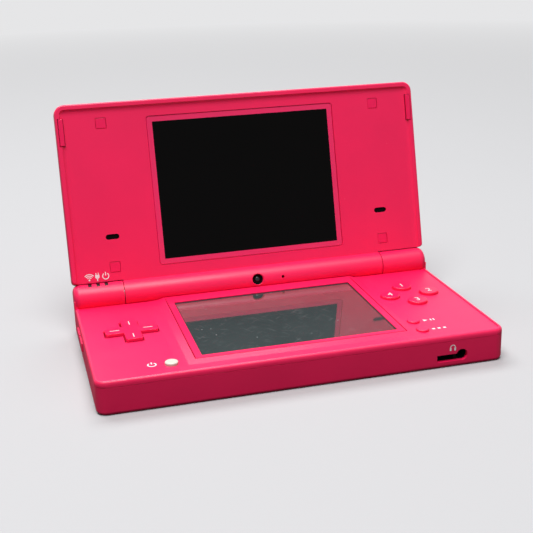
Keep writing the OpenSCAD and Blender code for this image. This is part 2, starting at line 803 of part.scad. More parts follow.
module display_frame() {
    hull() {
        frame_slice(0, deck_z - deck_t / 2);
        frame_slice(0, deck_z);
        frame_slice(0.55, deck_z + 0.25 * frame_rise);
    }
    hull() {
        frame_slice(0.55, deck_z);
        frame_slice(0.55, deck_z + 0.25 * frame_rise - slice);
        frame_slice(0.96, frame_z - slice);
        frame_slice(0.96, deck_z);
    }
}

// Side barrel with its rounded outer end, on the right
module side_barrel() {
    difference() {
        on_hinge_axis() translate([trough_half, 0, 0]) rotate([0, 90, 0])
            soft_disc(barrel_r, half_w - trough_half, barrel_end_r);
        span([0, body_w], [0, body_d], [0, upper_bottom]);
    }
    intersection() {
        span([trough_half, half_w], [hinge_y - barrel_r * 0.8, rear_y], [upper_bottom, hinge_z]);
        translate([0, 0, upper_bottom]) linear_extrude(hinge_z) base_outline(0);
    }
}

module upper_bosses() {
    at_each(case_screw_at) translate([0, 0, board_top + 2 * seat_gap])
        cylinder(r = boss_r, h = deck_under + deck_t / 2 - board_top);
}

// Slots over the status lights, on top of the left barrel
module status_slot(x, gap, z0) {
    span(wider([x - 0.6, x + 0.6], gap), wider([hinge_y - 1.9, hinge_y + 0.5], gap),
        [z0, hinge_z + barrel_r + past]);
}

module upper_housing() {
    groove = 0.36;
    groove_z = [frame_z - 0.5, frame_z + past];
    color(pink) difference() {
        union() {
            difference() {
                translate([0, front_y, upper_bottom])
                    soft_block(body_w, body_d, base_h - upper_bottom, corner_r, corner_r,
                        0, deck_edge_h, deck_edge_in);
                translate([0, 0, deck_z]) linear_extrude(base_h) intersection() {
                    base_outline(rim_w);
                    translate([-half_w, front_y]) square([body_w, hinge_y - front_y]);
                }
                translate([0, 0, upper_bottom - past]) linear_extrude(deck_under - upper_bottom + past)
                    base_outline(wall);
            }
            display_frame();
            both_sides() side_barrel();
            // Wall of the trough that the middle barrel lies in
            intersection() {
                on_hinge_axis() rod_x(trough_r + trough_wall, -trough_half + 0.1, trough_half - 0.1);
                span([-half_w, half_w], [front_y, rear_y], [trough_under, deck_z]);
            }
            span([-trough_half + 0.1, trough_half - 0.1], [hinge_y, rear_y], [trough_under, deck_z]);
            upper_bosses();
        }
        // Room for the middle barrel and for the lid's back as it opens
        on_hinge_axis() rod_x(trough_r, -trough_half, trough_half);
        span([-trough_half, trough_half], [hinge_y, rear_y + past],
            [hinge_z - trough_r, hinge_z + 2 * trough_r]);
        shoulder_room(lower_top);
        // Window and pocket of the lower panel
        span(lower_window_w / 2 * [-1, 1], window_ys, [deck_under, frame_z + past]);
        span(wider(panel_xs, pocket_gap), wider(panel_ys, pocket_gap),
            [upper_bottom - past, panel_z + seat_gap]);
        // Fine groove along the display frame
        for (s = [-1, 1])
            translate([s * frame_half, 0, 0])
                span(groove / 2 * [-1, 1], [frame_front, hinge_y - trough_r - 1.4], groove_z);
        span([-frame_half, frame_half], wider([frame_front, frame_front], groove / 2), groove_z);
        // Key holes
        for (k = [0:3]) face_at(k) cylinder(r = face_hole_r, h = frame_z + past);
        at_each([[small_x, start_y], [small_x, select_y], [power_x, power_y]])
            cylinder(r = small_d / 2 + key_gap, h = frame_z + past);
        translate([dpad_x, dpad_y, 0]) linear_extrude(frame_z) dpad_cross(dpad_gap, 0.7);
        // Bores of the clutch, the hinge tube and the cable, and the seats of the pins
        on_hinge_axis() {
            rod_x(hinge_tube_r + 0.03, trough_half - past, half_w - 4.4);
            rod_x(hinge_tube_r + 0.03, cable_drop_x - 2, -trough_half + past);
        }
        translate([cable_drop_x, hinge_y, upper_bottom - past])
            cylinder(r = cable_r + 0.3, h = hinge_z - upper_bottom);
        both_sides() translate([pin_x, pin_y, 0]) cylinder(r = pin_r + pin_seat, h = pin_z[1] + seat_gap);
        for (x = light_x) status_slot(x, 0.05, hinge_z + hinge_tube_r + 0.4);
        at_each(case_screw_at) cylinder(r = screw_r + seat_gap, h = deck_under + 0.3);
    }
}

module status_light_guides() {
    color(clear_white) intersection() {
        for (x = light_x) status_slot(x, 0, hinge_z + hinge_tube_r + 0.45);
        on_hinge_axis() rod_x(barrel_r - 0.25, -half_w, 0);
    }
}

module battery_cover() {
    color(pink) difference() {
        span(cover_x, cover_y, [0, cover_t], 1.4);
        at_each(cover_screw_at) screw_cut(cover_head_t, floor_t, hole_gap);
    }
}

module battery_cover_screws() {
    color(steel) at_each(cover_screw_at) screw(0.05, cover_head_t - 0.1, cover_screw_l);
}

module case_screws() {
    color(steel) at_each(case_screw_at) screw(screw_recess, screw_head_t, deck_under - screw_recess);
}

// ---- Inside the base ----

module battery() {
    color([0.15, 0.17, 0.2]) translate([battery_x, battery_y, cover_t + 0.1])
        span(battery_w * [-0.5, 0.5], battery_d * [-0.5, 0.5], [0, battery_t], 1.5);
}

module battery_connector() {
    color(black)
        span([bay_x[1] - bay_gap + 0.15, bay_x[1] + 3], [battery_y - 5, battery_y + 5],
            [floor_t + seat_gap, board_z - seat_gap]);
}

module board_outline() {
    difference() {
        translate([-half_w + wall + 4.5, front_y + wall + 2.6])
            square([body_w - 2 * wall - 9, body_d - wall - 12.6]);
        // Room for the stylus silo
        translate([silo_end - 1.5, stylus_y - silo_r - silo_wall - 0.4]) square([body_w, body_d]);
    }
}

module main_board() {
    color(board_green) difference() {
        translate([0, 0, board_z]) linear_extrude(board_t) board_outline();
        at_each(case_screw_at) cylinder(r = boss_r + 0.2, h = base_h);
    }
}

module processor_shield() {
    color(steel) span([-half_w + 16.2, cover_x[0] - 1], [front_y + 9, bay_y[1] - 8.2],
        [board_z - seat_gap - 1.6, board_z - seat_gap], 0.5);
}

module wireless_module() {
    color(board_green) span([bay_x[1] + 3.4, jack_x - remote_w - 2.38], [front_y + 9, sd_y - 14],
        [board_z - seat_gap - 1.8, board_z - seat_gap], 0.4);
}

module game_card_socket() {
    y = [rear_y - card_depth, rear_y - wall - 0.1];
    color(steel) difference() {
        span(wider(card_xs, sheet_t), [y[0] - socket_back_t, y[1]],
            [socket_z[0] - sheet_t, socket_z[1] + sheet_t - seat_gap]);
        span(card_xs, [y[0], y[1] + past], socket_z);
    }
}

module sd_card_socket() {
    x = [bay_x[1] + 8.4, half_w - 2.3];
    y = [sd_y - 12.9, sd_y + 12.9];
    z = [board_z - seat_gap - 2.9, board_z - seat_gap];
    color(steel) difference() {
        span(x, y, z);
        span([x[0] + 2, x[1] + past], [y[0] + 0.8, y[1] - 0.8], [z[0] + 0.3, z[1] - 0.3]);
    }
}

module headphone_jack() {
    y = [front_y + wall + 0.1, front_y + wall + 0.1 + jack_l];
    color(black) difference() {
        span([jack_x - remote_w - 0.6, jack_x + 2.8], y, [jack_z - 2.5, board_z - seat_gap]);
        translate([jack_x, y[0] - past, jack_z]) rotate([-90, 0, 0])
            cylinder(r = jack_r, h = jack_l - 1 + past);
        span([jack_x - remote_w, jack_x - 2.4], [y[0] - past, y[0] + 6], remote_z);
    }
}

module power_inlet() {
    y = [rear_y - wall - 8, rear_y - wall - 0.1];
    color(black) difference() {
        span([inlet_x - 4.2, inlet_x + 4.2], y, [1.8, board_z - seat_gap]);
        difference() {
            span([inlet_x - 3.4, inlet_x + 3.4], [y[0] + 1.5, y[1] + past], [2.8, 5.2]);
            span([inlet_x - 2.6, inlet_x + 2.6], [y[0], y[1] - 0.8], [3.7, 4.3]);
        }
    }
}

module touch_panel() {
    color(glass_grey) span(panel_xs, panel_ys, [panel_z - touch_t, panel_z]);
}

module lower_display() {
    color(black) span(panel_xs, panel_ys, [display_z, display_top]);
}

module display_cushion() {
    color(rubber_grey)
        span(wider(panel_xs, -4.4), wider(panel_ys, -4.8), [board_top + seat_gap, display_z - seat_gap], 2);
}

// ---- Hinge pieces ----

module hinge_clutch() {
    color(steel) on_hinge_axis() {
        rod_x(hinge_tube_r, trough_half + 0.1, half_w - 4.5);
        rod_x(clutch_shaft_r, trough_half - clutch_reach, trough_half + 1);
    }
}

module hinge_tube() {
    color(steel) on_hinge_axis() difference() {
        rod_x(hinge_tube_r, cable_drop_x + cable_r + 0.4, -trough_half + tube_reach);
        rod_x(hinge_tube_bore_r, -half_w, 0);
    }
}

// Rolled cable bundle from the main board up through the tube into the lid
module lid_cable() {
    low_z = board_top + seat_gap + cable_r;
    board_y = hinge_y - 7.05;
    color([0.75, 0.45, 0.15]) {
        on_hinge_axis() rod_x(cable_r, cable_drop_x, -trough_half + tube_reach + 4);
        translate([cable_drop_x, hinge_y, low_z]) cylinder(r = cable_r, h = hinge_z - low_z);
        translate([cable_drop_x, board_y, low_z]) rotate([-90, 0, 0])
            cylinder(r = cable_r, h = hinge_y - board_y);
        for (z = [low_z, hinge_z]) translate([cable_drop_x, hinge_y, z]) sphere(cable_r);
    }
}

// ---- Memory card cover and stylus ----

module sd_slot_cover() {
    y = [sd_y - sd_cover_l / 2, sd_y + sd_cover_l / 2];
    color(pink) {
        span(sd_cover_x, y, [sd_axis_z, sd_axis_z - sd_pin_r + sd_cover_h - sd_hole_gap]);
        sd_pin_axis() cylinder(r = (sd_cover_x[1] - sd_cover_x[0]) / 2, h = sd_cover_l, center = true);
        sd_pin_axis() cylinder(r = sd_pin_r, h = sd_cover_l + 2, center = true);
    }
}

module sd_pin_axis() {
    translate([sd_axis_x, sd_y, sd_axis_z]) rotate([-90, 0, 0]) children();
}

module stylus() {
    nib = 5;
    color(pink) translate([0, stylus_y, stylus_z]) difference() {
        union() {
            rod_x(stylus_r, stylus_end - stylus_l + nib, stylus_end);
            translate([stylus_end - stylus_l + 0.6, 0, 0]) rotate([0, 90, 0])
                cylinder(r1 = 0.6, r2 = stylus_r, h = nib - 0.6);
            translate([stylus_end - stylus_l + 0.6, 0, 0]) sphere(0.6);
        }
        // Nail notch near the head
        translate([stylus_end - 3.2, -past * 4, stylus_r - 0.5]) cube([1.4, past * 8, past]);
    }
}

// ---- Lid ----

module lid_outline(inset, near) {
    translate([0, near])
        two_radius_rect(body_w - 2 * inset, lid_far - near - inset,
            max(lid_near_r - inset, 0.3), corner_r - inset);
}

module lid_plug_places() {
    for (s = [-1, 1], v = plug_v) translate([s * plug_u, v, 0]) children();
}

module camera_place() {
    translate([-half_w + cam_pocket_in, cam_pocket_v, 0]) children();
}

module camera_light_place() {
    translate([-half_w + cam_pocket_in, camera_light_v, 0]) children();
}

module lid_outer_cover() {
    h = lid_seam - seam_gap / 2 + lid_back;
    color(pink) in_lid() difference() {
        union() {
            difference() {
                translate([0, lid_near - lid_lip, -lid_back])
                    soft_block(body_w, lid_far - lid_near + lid_lip, h, lid_near_r, corner_r, edge_r);
                translate([0, 0, lid_inside]) linear_extrude(lid_back)
                    lid_outline(wall, lid_near + wall);
                // Way for the middle barrel's block and for the side barrels
                span([-trough_half, trough_half], [0, lid_near], [-lid_back - past, lid_back]);
                rod_x(trough_r, -body_w, body_w);
                span([-body_w, body_w], [0, lid_near], [-lid_lip, lid_back]);
            }
            translate([0, 0, lid_inside - lid_skin / 2]) lid_plug_places()
                cylinder(r = lid_boss_r, h = lid_skin / 2 + 2.1);
        }
        translate([0, 0, lid_inside + 0.15]) lid_plug_places() cylinder(r = screw_r + seat_gap, h = lid_back);
        camera_place() translate([0, 0, -lid_back - past]) {
            cylinder(r = 2.95, h = 0.55 + past);
            cylinder(r = 2.3, h = lid_back);
        }
        camera_light_place() translate([0, 0, -lid_back - past]) cylinder(r = 0.95, h = lid_back);
        span(wider(ribbon_u, 0.5), [0, lid_near + wall + past], [ribbon_w - 0.35, lid_back]);
    }
}

// Slot over each speaker, made smaller by inset
module speaker_slot(inset, z) {
    for (s = [-1, 1]) translate([s * speaker_u, speaker_v, z[0]]) linear_extrude(z[1] - z[0])
        rounded_rect(5 - 2 * inset, 1.9 - 2 * inset, 0.94 - inset);
}

// Hollow over the lid's inner face, with sides that slope up to the rim
module lid_hollow() {
    hull()
        for (s = [[1, 0], [0.5, 0.12], [0.15, 0.45], [0, 1], [0, 2]]) {
            inset = lid_rim_w + lid_slope_w * s[0];
            translate([0, -past, lid_face + lid_rim_h * s[1]]) linear_extrude(slice)
                two_radius_rect(body_w - 2 * inset, lid_far + past - inset, 0.3, max(corner_r - inset, 0.3),
                    $fn = 32);
        }
}

module lid_inner_cover() {
    color(pink) in_lid() difference() {
        union() {
            difference() {
                translate([0, lid_near, lid_seam + seam_gap / 2])
                    soft_block(body_w, lid_far - lid_near, lid_top - lid_seam - seam_gap / 2,
                        lid_near_r, corner_r, 0, rim_edge_r, rim_edge_r);
                lid_hollow();
            }
            // Middle barrel and the block that joins it to the cover
            rod_x(barrel_r, -barrel_half, barrel_half);
            span([-barrel_half, barrel_half], [0, lid_near - 0.08], [-lid_back, lid_face]);
            span([-barrel_half, barrel_half], [0, lid_near + 2], [lid_seam + seam_gap / 2, lid_face]);
            // Sleeves of the lid screws
            translate([0, 0, lid_seam - 1]) lid_plug_places() cylinder(r = lid_boss_r, h = 1.5);
        }
        // Window, and the recess of the lens
        span(upper_us, upper_vs, [-lid_back, lid_back]);
        span(wider(lens_us, lens_gap), wider(lens_vs, lens_gap), [lens_back, lid_back], lens_r + lens_gap);
        // Plugs over the screws
        lid_plug_places() {
            span(wider(plug_sides, plug_gap), wider(plug_sides, plug_gap),
                [lid_face - plug_t - plug_gap, lid_back], 0.4);
            translate([0, 0, lid_seam]) cylinder(r = screw_head_r + hole_gap, h = lid_back);
            translate([0, 0, -lid_back]) cylinder(r = screw_r + hole_gap, h = 2 * lid_back);
        }
        speaker_slot(0, [lid_seam - past, lid_back]);
        for (s = [-1, 1]) translate([s * bumper_u, 0, 0])
            span(wider(bumper_w / 2 * [-1, 1], bumper_gap), wider(bumper_v, bumper_gap),
                [lid_top - 0.7, lid_back]);
        // Bores of the barrel: the tube and the cable from the left, the clutch's shaft from the right
        rod_x(hinge_tube_r + run_fit, -barrel_half - past, barrel_half - clutch_reach - 0.5);
        rod_x(clutch_shaft_r + run_fit, 0, barrel_half + past);
        // Inner camera and microphone
        cylinder(r = 1.85, h = lid_back + past);
        translate([0, 0, camera_ring_z - seat_gap]) cylinder(r = camera_ring_r + seat_gap, h = 2 * past);
        translate([mic_u, 0, 0]) cylinder(r = 0.6, h = lid_back + past);
        // Way for the display's ribbon
        span(wider(ribbon_u, 0.5), [1, lid_near + past], [ribbon_w - 0.3, ribbon_w + 0.5]);
    }
}

module upper_screen_lens() {
    color(black) in_lid() span(lens_us, lens_vs, [lens_front - lens_t, lens_front], lens_r);
}

module upper_display() {
    color(black) in_lid() {
        span(wider(upper_us, -0.15), wider(upper_vs, -0.15), [lid_inside + 0.2, lens_back - seat_gap]);
        span(wider(upper_us, 1.55), wider(upper_vs, 1.05), [lid_inside + 0.2, lid_seam]);
    }
}

module display_ribbon() {
    color([0.75, 0.45, 0.15]) in_lid()
        span(ribbon_u, [1.5, upper_vs[0] - 1.1], [ribbon_w, ribbon_w + 0.15]);
}

// Speakers, each with a dust pad that stands in its slot
module speakers() {
    color(black) in_lid() {
        for (s = [-1, 1]) translate([s * speaker_u, speaker_v, 0])
            span([-7.5, 7.5], [-4.5, 4.5], [lid_inside + 0.2, lid_seam], 2);
        speaker_slot(0.12, [lid_seam - slice, lid_face - 0.35]);
    }
}

module lid_screws() {
    head = lid_seam + 0.02;
    color(steel) in_lid() lid_plug_places() {
        translate([0, 0, head]) cylinder(r = screw_head_r, h = 0.6);
        translate([0, 0, lid_inside + 0.25]) cylinder(r = screw_r, h = head - lid_inside);
    }
}

module lid_screw_plugs() {
    color(pink) in_lid() lid_plug_places()
        span(plug_sides, plug_sides, [lid_face - plug_t, lid_face - 0.08], 0.35);
}

module lid_bumpers() {
    color(pink) in_lid() for (s = [-1, 1]) translate([s * bumper_u, 0, 0])
        span(bumper_w / 2 * [-1, 1], bumper_v, [lid_top - 0.65, lid_top + bumper_rise], 0.2);
}

module inner_camera() {
    color(black) in_lid() {
        span([-2.6, 2.6], [-1.9, 1.9], [-2, 1.9]);
        cylinder(r = 1.8, h = camera_ring_z - seat_gap);
    }
}

module inner_camera_lens() {
    color(black) in_lid() translate([0, 0, camera_ring_z]) difference() {
        cylinder(r = camera_ring_r, h = camera_ring_t);
        translate([0, 0, camera_ring_t - 0.25]) cylinder(r = 1.8, h = past);
    }
}

module microphone() {
    color(steel) in_lid() translate([mic_u, 0, 0.9]) cylinder(r = 1.85, h = 1.4);
}

module outer_camera() {
    color(black) in_lid() camera_place() {
        span([-3.5, 3.5], [-3.5, 3.5], [lid_inside + 0.05, lid_seam]);
        translate([0, 0, -lid_back + 0.6]) cylinder(r = 2.2, h = lid_back - 2);
    }
}

module outer_camera_lens() {
    color(black) in_lid() camera_place() translate([0, 0, -lid_back + 0.03]) cylinder(r = 2.9, h = 0.5);
}

module camera_light() {
    color(clear_white) in_lid() camera_light_place() {
        translate([0, 0, -lid_back + 0.03]) cylinder(r = 0.9, h = 1.6);
        translate([0, 0, lid_inside + 0.1]) span([-1.5, 1.5], [-1.5, 1.5], [0, 1]);
    }
}

lower_housing();
upper_housing();
battery_cover();
battery_cover_screws();
case_screws();
battery();
battery_connector();
main_board();
processor_shield();
wireless_module();
game_card_socket();
sd_card_socket();
headphone_jack();
power_inlet();
touch_panel();
lower_display();
display_cushion();
dpad_keypad();
face_keypad();
small_keypads();
volume_switch_board();
shoulder_switch_boards();
shoulder_pins();
shoulder_springs();
status_light_guides();
hinge_clutch();
hinge_tube();
lid_cable();
dpad_pivot();
dpad();
face_button_rear();
face_button_left();
face_button_right();
face_button_front();
start_button();
select_button();
power_button();
volume_up_key();
volume_down_key();
shoulder_button_left();
shoulder_button_right();
sd_slot_cover();
stylus();
lid_outer_cover();
lid_inner_cover();
upper_screen_lens();
upper_display();
display_ribbon();
speakers();
lid_screws();
lid_screw_plugs();
lid_bumpers();
inner_camera();
inner_camera_lens();
microphone();
outer_camera();
outer_camera_lens();
camera_light();
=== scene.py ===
import json
import math

import bmesh
import bpy
from mathutils import Matrix, Vector


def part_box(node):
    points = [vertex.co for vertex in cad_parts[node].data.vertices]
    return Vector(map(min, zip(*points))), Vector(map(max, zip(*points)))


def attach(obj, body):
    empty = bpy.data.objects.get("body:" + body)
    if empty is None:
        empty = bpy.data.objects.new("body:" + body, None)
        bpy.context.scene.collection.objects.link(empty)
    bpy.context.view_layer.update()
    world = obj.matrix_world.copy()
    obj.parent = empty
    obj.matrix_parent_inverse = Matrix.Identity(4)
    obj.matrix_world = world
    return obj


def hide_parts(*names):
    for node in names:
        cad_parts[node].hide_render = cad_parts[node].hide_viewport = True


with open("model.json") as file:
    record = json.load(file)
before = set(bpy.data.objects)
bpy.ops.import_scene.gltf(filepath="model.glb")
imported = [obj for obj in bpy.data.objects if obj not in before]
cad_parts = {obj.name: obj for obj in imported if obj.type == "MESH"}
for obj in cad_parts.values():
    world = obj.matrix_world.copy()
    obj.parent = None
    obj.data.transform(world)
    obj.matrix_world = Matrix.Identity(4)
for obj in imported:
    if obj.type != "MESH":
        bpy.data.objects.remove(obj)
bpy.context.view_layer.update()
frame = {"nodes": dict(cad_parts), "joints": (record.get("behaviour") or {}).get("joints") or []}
nodes = frame["nodes"]

# ---- Lower housing and battery cover ----
# The bottom half of the case, moulded in raspberry pink plastic, with the ports in its walls.
# The cover closes the battery bay and lies flush in the floor, held by two screws.


def node_tools(tree):
    """Two functions for a node tree: one adds a node with its settings, one links two sockets."""

    def add(kind, **sockets):
        node = tree.nodes.new(kind)
        for key, value in sockets.items():
            socket = key.replace("_", " ").title()
            if socket in node.inputs:
                node.inputs[socket].default_value = value
            else:
                setattr(node, key, value)
        return node

    def link(a, b):
        tree.links.new(a, b)

    return add, link


def new_material(name):
    """A material, its Principled shader, and the tools for its node tree."""
    material = bpy.data.materials.new(name)
    material.use_nodes = True
    return material, material.node_tree.nodes["Principled BSDF"], *node_tools(material.node_tree)


def ramp(add, link, source, low, high, out_low, out_high):
    """Map Range from [low, high] of a value to [out_low, out_high]."""
    node = add("ShaderNodeMapRange", from_min=low, from_max=high, to_min=out_low, to_max=out_high)
    link(source, node.inputs["Value"])
    return node.outputs["Result"]


def tint(add, link, factor, low, high):
    """Mixes two colours by a factor. Each one is three numbers, or a socket that gives a colour."""
    node = add("ShaderNodeMix")
    node.data_type = "RGBA"
    link(factor, node.inputs[0])
    for colour, socket in ((low, node.inputs[6]), (high, node.inputs[7])):
        if isinstance(colour, bpy.types.NodeSocket):
            link(colour, socket)
        else:
            socket.default_value = (*colour, 1)
    return node.outputs[2]


def combined(add, link, operation, a, b):
    """Joins two values by a sum, a product or a maximum."""
    node = add("ShaderNodeMath", operation=operation)
    link(a, node.inputs[0])
    link(b, node.inputs[1])
    return node.outputs[0]


def relief(add, link, shader, height, strength, distance):
    """Gives a surface a fine relief from a texture, with its depth in metres."""
    bump = add("ShaderNodeBump", strength=strength, distance=distance)
    link(height, bump.inputs["Height"])
    link(bump.outputs["Normal"], shader.inputs["Normal"])


def moulded_plastic(name, colour, rough, grain=0.35, coat=0.0, gloss=0.36):
    """Moulded plastic: faint mottling, smudges in the gloss, a fine skin and specks of dust."""
    material, shader, add, link = new_material(name)
    place = add("ShaderNodeTexCoord").outputs["Object"]
    mottle = add("ShaderNodeTexNoise", scale=45, detail=3)
    smudge = add("ShaderNodeTexNoise", scale=28, detail=5, roughness=0.62)
    skin = add("ShaderNodeTexNoise", scale=5200, detail=2)
    dust = add("ShaderNodeTexVoronoi", scale=420)
    for texture in (mottle, smudge, skin, dust):
        link(place, texture.inputs["Vector"])
    shade = ramp(add, link, mottle.outputs["Fac"], 0.3, 0.7, 0.0, 1.0)
    body = tint(add, link, shade, [c * 0.955 for c in colour], [min(1, c * 1.03) for c in colour])
    near = ramp(add, link, dust.outputs["Distance"], 0.025, 0.045, 1.0, 0.0)
    rare = ramp(add, link, dust.outputs["Color"], 0.80, 0.82, 0.0, 0.55)
    specks = combined(add, link, "MULTIPLY", near, rare)
    link(tint(add, link, specks, body, [0.45 + 0.55 * c for c in colour]), shader.inputs["Base Color"])
    link(ramp(add, link, smudge.outputs["Fac"], 0.3, 0.75, rough - 0.05, rough + 0.07),
         shader.inputs["Roughness"])
    relief(add, link, shader, skin.outputs["Fac"], grain, 0.000012)
    shader.inputs["Specular IOR Level"].default_value = gloss
    shader.inputs["Coat Weight"].default_value = coat
    shader.inputs["Coat Roughness"].default_value = 0.18
    return material


def dress(material, *names):
    """Gives CAD nodes a material in place of their plain one."""
    for name in names:
        for slot in nodes[name].material_slots:
            slot.material = material


def soften(width, *names, steps=2):
    """Rounds the sharp edges of CAD nodes by a small width, as a mould does."""
    for name in names:
        piece = nodes[name]
        weld = piece.modifiers.new("weld", "WELD")
        weld.merge_threshold = 0.000001
        flats = piece.modifiers.new("flats", "DECIMATE")
        flats.decimate_type = "DISSOLVE"
        flats.angle_limit = math.radians(0.4)
        edge = piece.modifiers.new("edge", "BEVEL")
        edge.width = width
        edge.segments = steps
        edge.limit_method = "ANGLE"
        edge.angle_limit = math.radians(38)
        edge.harden_normals = False
        piece.modifiers.new("shading", "WEIGHTED_NORMAL").keep_sharp = False
        for face in piece.data.polygons:
            face.use_smooth = True


pink = moulded_plastic("pink_plastic", (0.92, 0.007, 0.096), rough=0.40, gloss=0.5)
dress(pink, "lower_housing", "battery_cover")
soften(0.00014, "lower_housing", "battery_cover")

# ---- Screws of the case and of the battery cover ----
# Small cross-head screws of bright steel, turned and plated, with their heads sunk in the floor. The
# case's screws reach up into the upper housing, and two more hold the battery cover to the lower one.


def turned_steel(name, colour, rough):
    """Bright steel with fine tool marks."""
    material, shader, add, link = new_material(name)
    place = add("ShaderNodeTexCoord").outputs["Object"]
    stretch = add("ShaderNodeMapping")
    stretch.inputs["Scale"].default_value = (1, 14, 1)
    link(place, stretch.inputs["Vector"])
    marks = add("ShaderNodeTexNoise", scale=900, detail=4)
    link(stretch.outputs["Vector"], marks.inputs["Vector"])
    body = tint(add, link, marks.outputs["Fac"], [c * 0.82 for c in colour], colour)
    link(body, shader.inputs["Base Color"])
    link(ramp(add, link, marks.outputs["Fac"], 0.3, 0.7, rough - 0.06, rough + 0.1),
         shader.inputs["Roughness"])
    relief(add, link, shader, marks.outputs["Fac"], 0.3, 0.00001)
    shader.inputs["Metallic"].default_value = 1.0
    return material


steel = turned_steel("bright_steel", (0.60, 0.61, 0.63), rough=0.3)
dress(steel, "battery_cover_screws", "case_screws")

# ---- Battery and its contacts ----
# A flat pouch cell in a dark matte case, pushed against a black connector block that is soldered
# to the main board.

black = moulded_plastic("black_plastic", (0.012, 0.012, 0.014), rough=0.5, grain=0.6)
battery_case = moulded_plastic("battery_case", (0.022, 0.026, 0.036), rough=0.55, grain=0.8)
dress(battery_case, "battery")
dress(black, "battery_connector")

# ---- Main board, shield and small boards ----
# Green glass-fibre boards with copper tracks under the lacquer. A folded cover of bright steel
# shields the processor.


def circuit_board(name):
    """Green lacquer over a grid of copper tracks."""
    material, shader, add, link = new_material(name)
    place = add("ShaderNodeTexCoord").outputs["Object"]
    tracks = add("ShaderNodeTexBrick", scale=180, mortar_size=0.03)
    tracks.inputs["Color1"].default_value = (0.010, 0.085, 0.040, 1)
    tracks.inputs["Color2"].default_value = (0.014, 0.11, 0.055, 1)
    tracks.inputs["Mortar"].default_value = (0.05, 0.21, 0.09, 1)
    weave = add("ShaderNodeTexNoise", scale=1500, detail=2)
    link(place, tracks.inputs["Vector"])
    link(place, weave.inputs["Vector"])
    link(tracks.outputs["Color"], shader.inputs["Base Color"])
    relief(add, link, shader, tracks.outputs["Fac"], 0.4, 0.00002)
    link(ramp(add, link, weave.outputs["Fac"], 0.3, 0.7, 0.25, 0.42), shader.inputs["Roughness"])
    return material


board = circuit_board("circuit_board")
dress(board, "main_board", "wireless_module", "volume_switch_board", "shoulder_switch_boards")
dress(steel, "processor_shield")

# ---- Card sockets, headphone jack and power inlet ----
# Folded steel sheet round the cards, and black plastic blocks behind the front and rear openings.
# A row of gold springs reaches into the card slot.

dress(steel, "game_card_socket", "sd_card_socket")
port_black = moulded_plastic("port_black", (0.004, 0.004, 0.004), rough=0.6, gloss=0.12)
dress(port_black, "headphone_jack", "power_inlet")
gold = turned_steel("gold_plating", (0.78, 0.55, 0.22), rough=0.25)
MM = 0.001


def plain_mesh(name, shape):
    """Turns a built shape into a mesh whose faces point outwards."""
    bmesh.ops.recalc_face_normals(shape, faces=shape.faces)
    mesh = bpy.data.meshes.new(name)
    shape.to_mesh(mesh)
    shape.free()
    return mesh


def new_piece(name, mesh, *materials):
    """Puts a mesh in the scene as a piece of the given materials."""
    for material in materials:
        mesh.materials.append(material)
    piece = bpy.data.objects.new(name, mesh)
    bpy.context.scene.collection.objects.link(piece)
    return piece


def repeated(name, source, count, step, material, body):
    """Copies one small shape along a line with Geometry Nodes, and keeps the result as a plain mesh."""
    piece = new_piece(name, source)
    group = bpy.data.node_groups.new(name + "_row", "GeometryNodeTree")
    group.interface.new_socket("Geometry", in_out="INPUT", socket_type="NodeSocketGeometry")
    number = group.interface.new_socket("Count", in_out="INPUT", socket_type="NodeSocketInt")
    offset = group.interface.new_socket("Step", in_out="INPUT", socket_type="NodeSocketVector")
    group.interface.new_socket("Geometry", in_out="OUTPUT", socket_type="NodeSocketGeometry")
    given = group.nodes.new("NodeGroupInput")
    line = group.nodes.new("GeometryNodeMeshLine")
    copies = group.nodes.new("GeometryNodeInstanceOnPoints")
    real = group.nodes.new("GeometryNodeRealizeInstances")
    paint = group.nodes.new("GeometryNodeSetMaterial")
    paint.inputs["Material"].default_value = material
    result = group.nodes.new("NodeGroupOutput")
    for a, b in ((given.outputs["Count"], line.inputs["Count"]),
                 (given.outputs["Step"], line.inputs["Offset"]),
                 (line.outputs["Mesh"], copies.inputs["Points"]),
                 (given.outputs["Geometry"], copies.inputs["Instance"]),
                 (copies.outputs["Instances"], real.inputs["Geometry"]),
                 (real.outputs["Geometry"], paint.inputs["Geometry"]),
                 (paint.outputs["Geometry"], result.inputs["Geometry"])):
        group.links.new(a, b)
    row = piece.modifiers.new("row", "NODES")
    row.node_group = group
    row[number.identifier] = count
    row[offset.identifier] = step
    bpy.context.view_layer.update()
    mesh = bpy.data.meshes.new_from_object(piece.evaluated_get(bpy.context.evaluated_depsgraph_get()))
    piece.modifiers.remove(row)
    piece.data = mesh
    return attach(piece, body)


def contact_spring(start, width, thick):
    """The first gold spring inside the card socket: a strip bent down and up again."""
    bends = [(0, 0), (0.7, -0.04), (1.7, -0.49), (2.6, -0.84), (3.2, -0.82), (3.8, -0.49)]
    section = [(0, 0), (width, 0), (width, thick), (0, thick)]
    shape = bmesh.new()
    rows = [[shape.verts.new(start + Vector((x, y, z + lift)) * MM) for x, lift in section]
            for y, z in bends]
    for a, b in zip(rows, rows[1:]):
        for k in range(4):
            n = (k + 1) % 4
            shape.faces.new((a[k], a[n], b[n], b[k]))
    shape.faces.new(rows[0][::-1])
    shape.faces.new(rows[-1])
    return plain_mesh("contact_spring", shape)


socket_low, socket_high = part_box("game_card_socket")
spring_in, spring_back, spring_down = 2.45, 1.15, 0.31
first_spring = Vector((socket_low.x + spring_in * MM, socket_low.y + spring_back * MM,
                       socket_high.z - spring_down * MM))
spring_count = 17
spring_pitch = 1.8
repeated("card_contacts", contact_spring(first_spring, width=0.5, thick=0.12), spring_count,
         (spring_pitch * MM, 0, 0), gold, "base")

# ---- Lower display ----
# The touch panel is a clear film on glass over a grey display that is off, under a raised frame.
# It mirrors the lid, and carries fine scratches and dust from use.


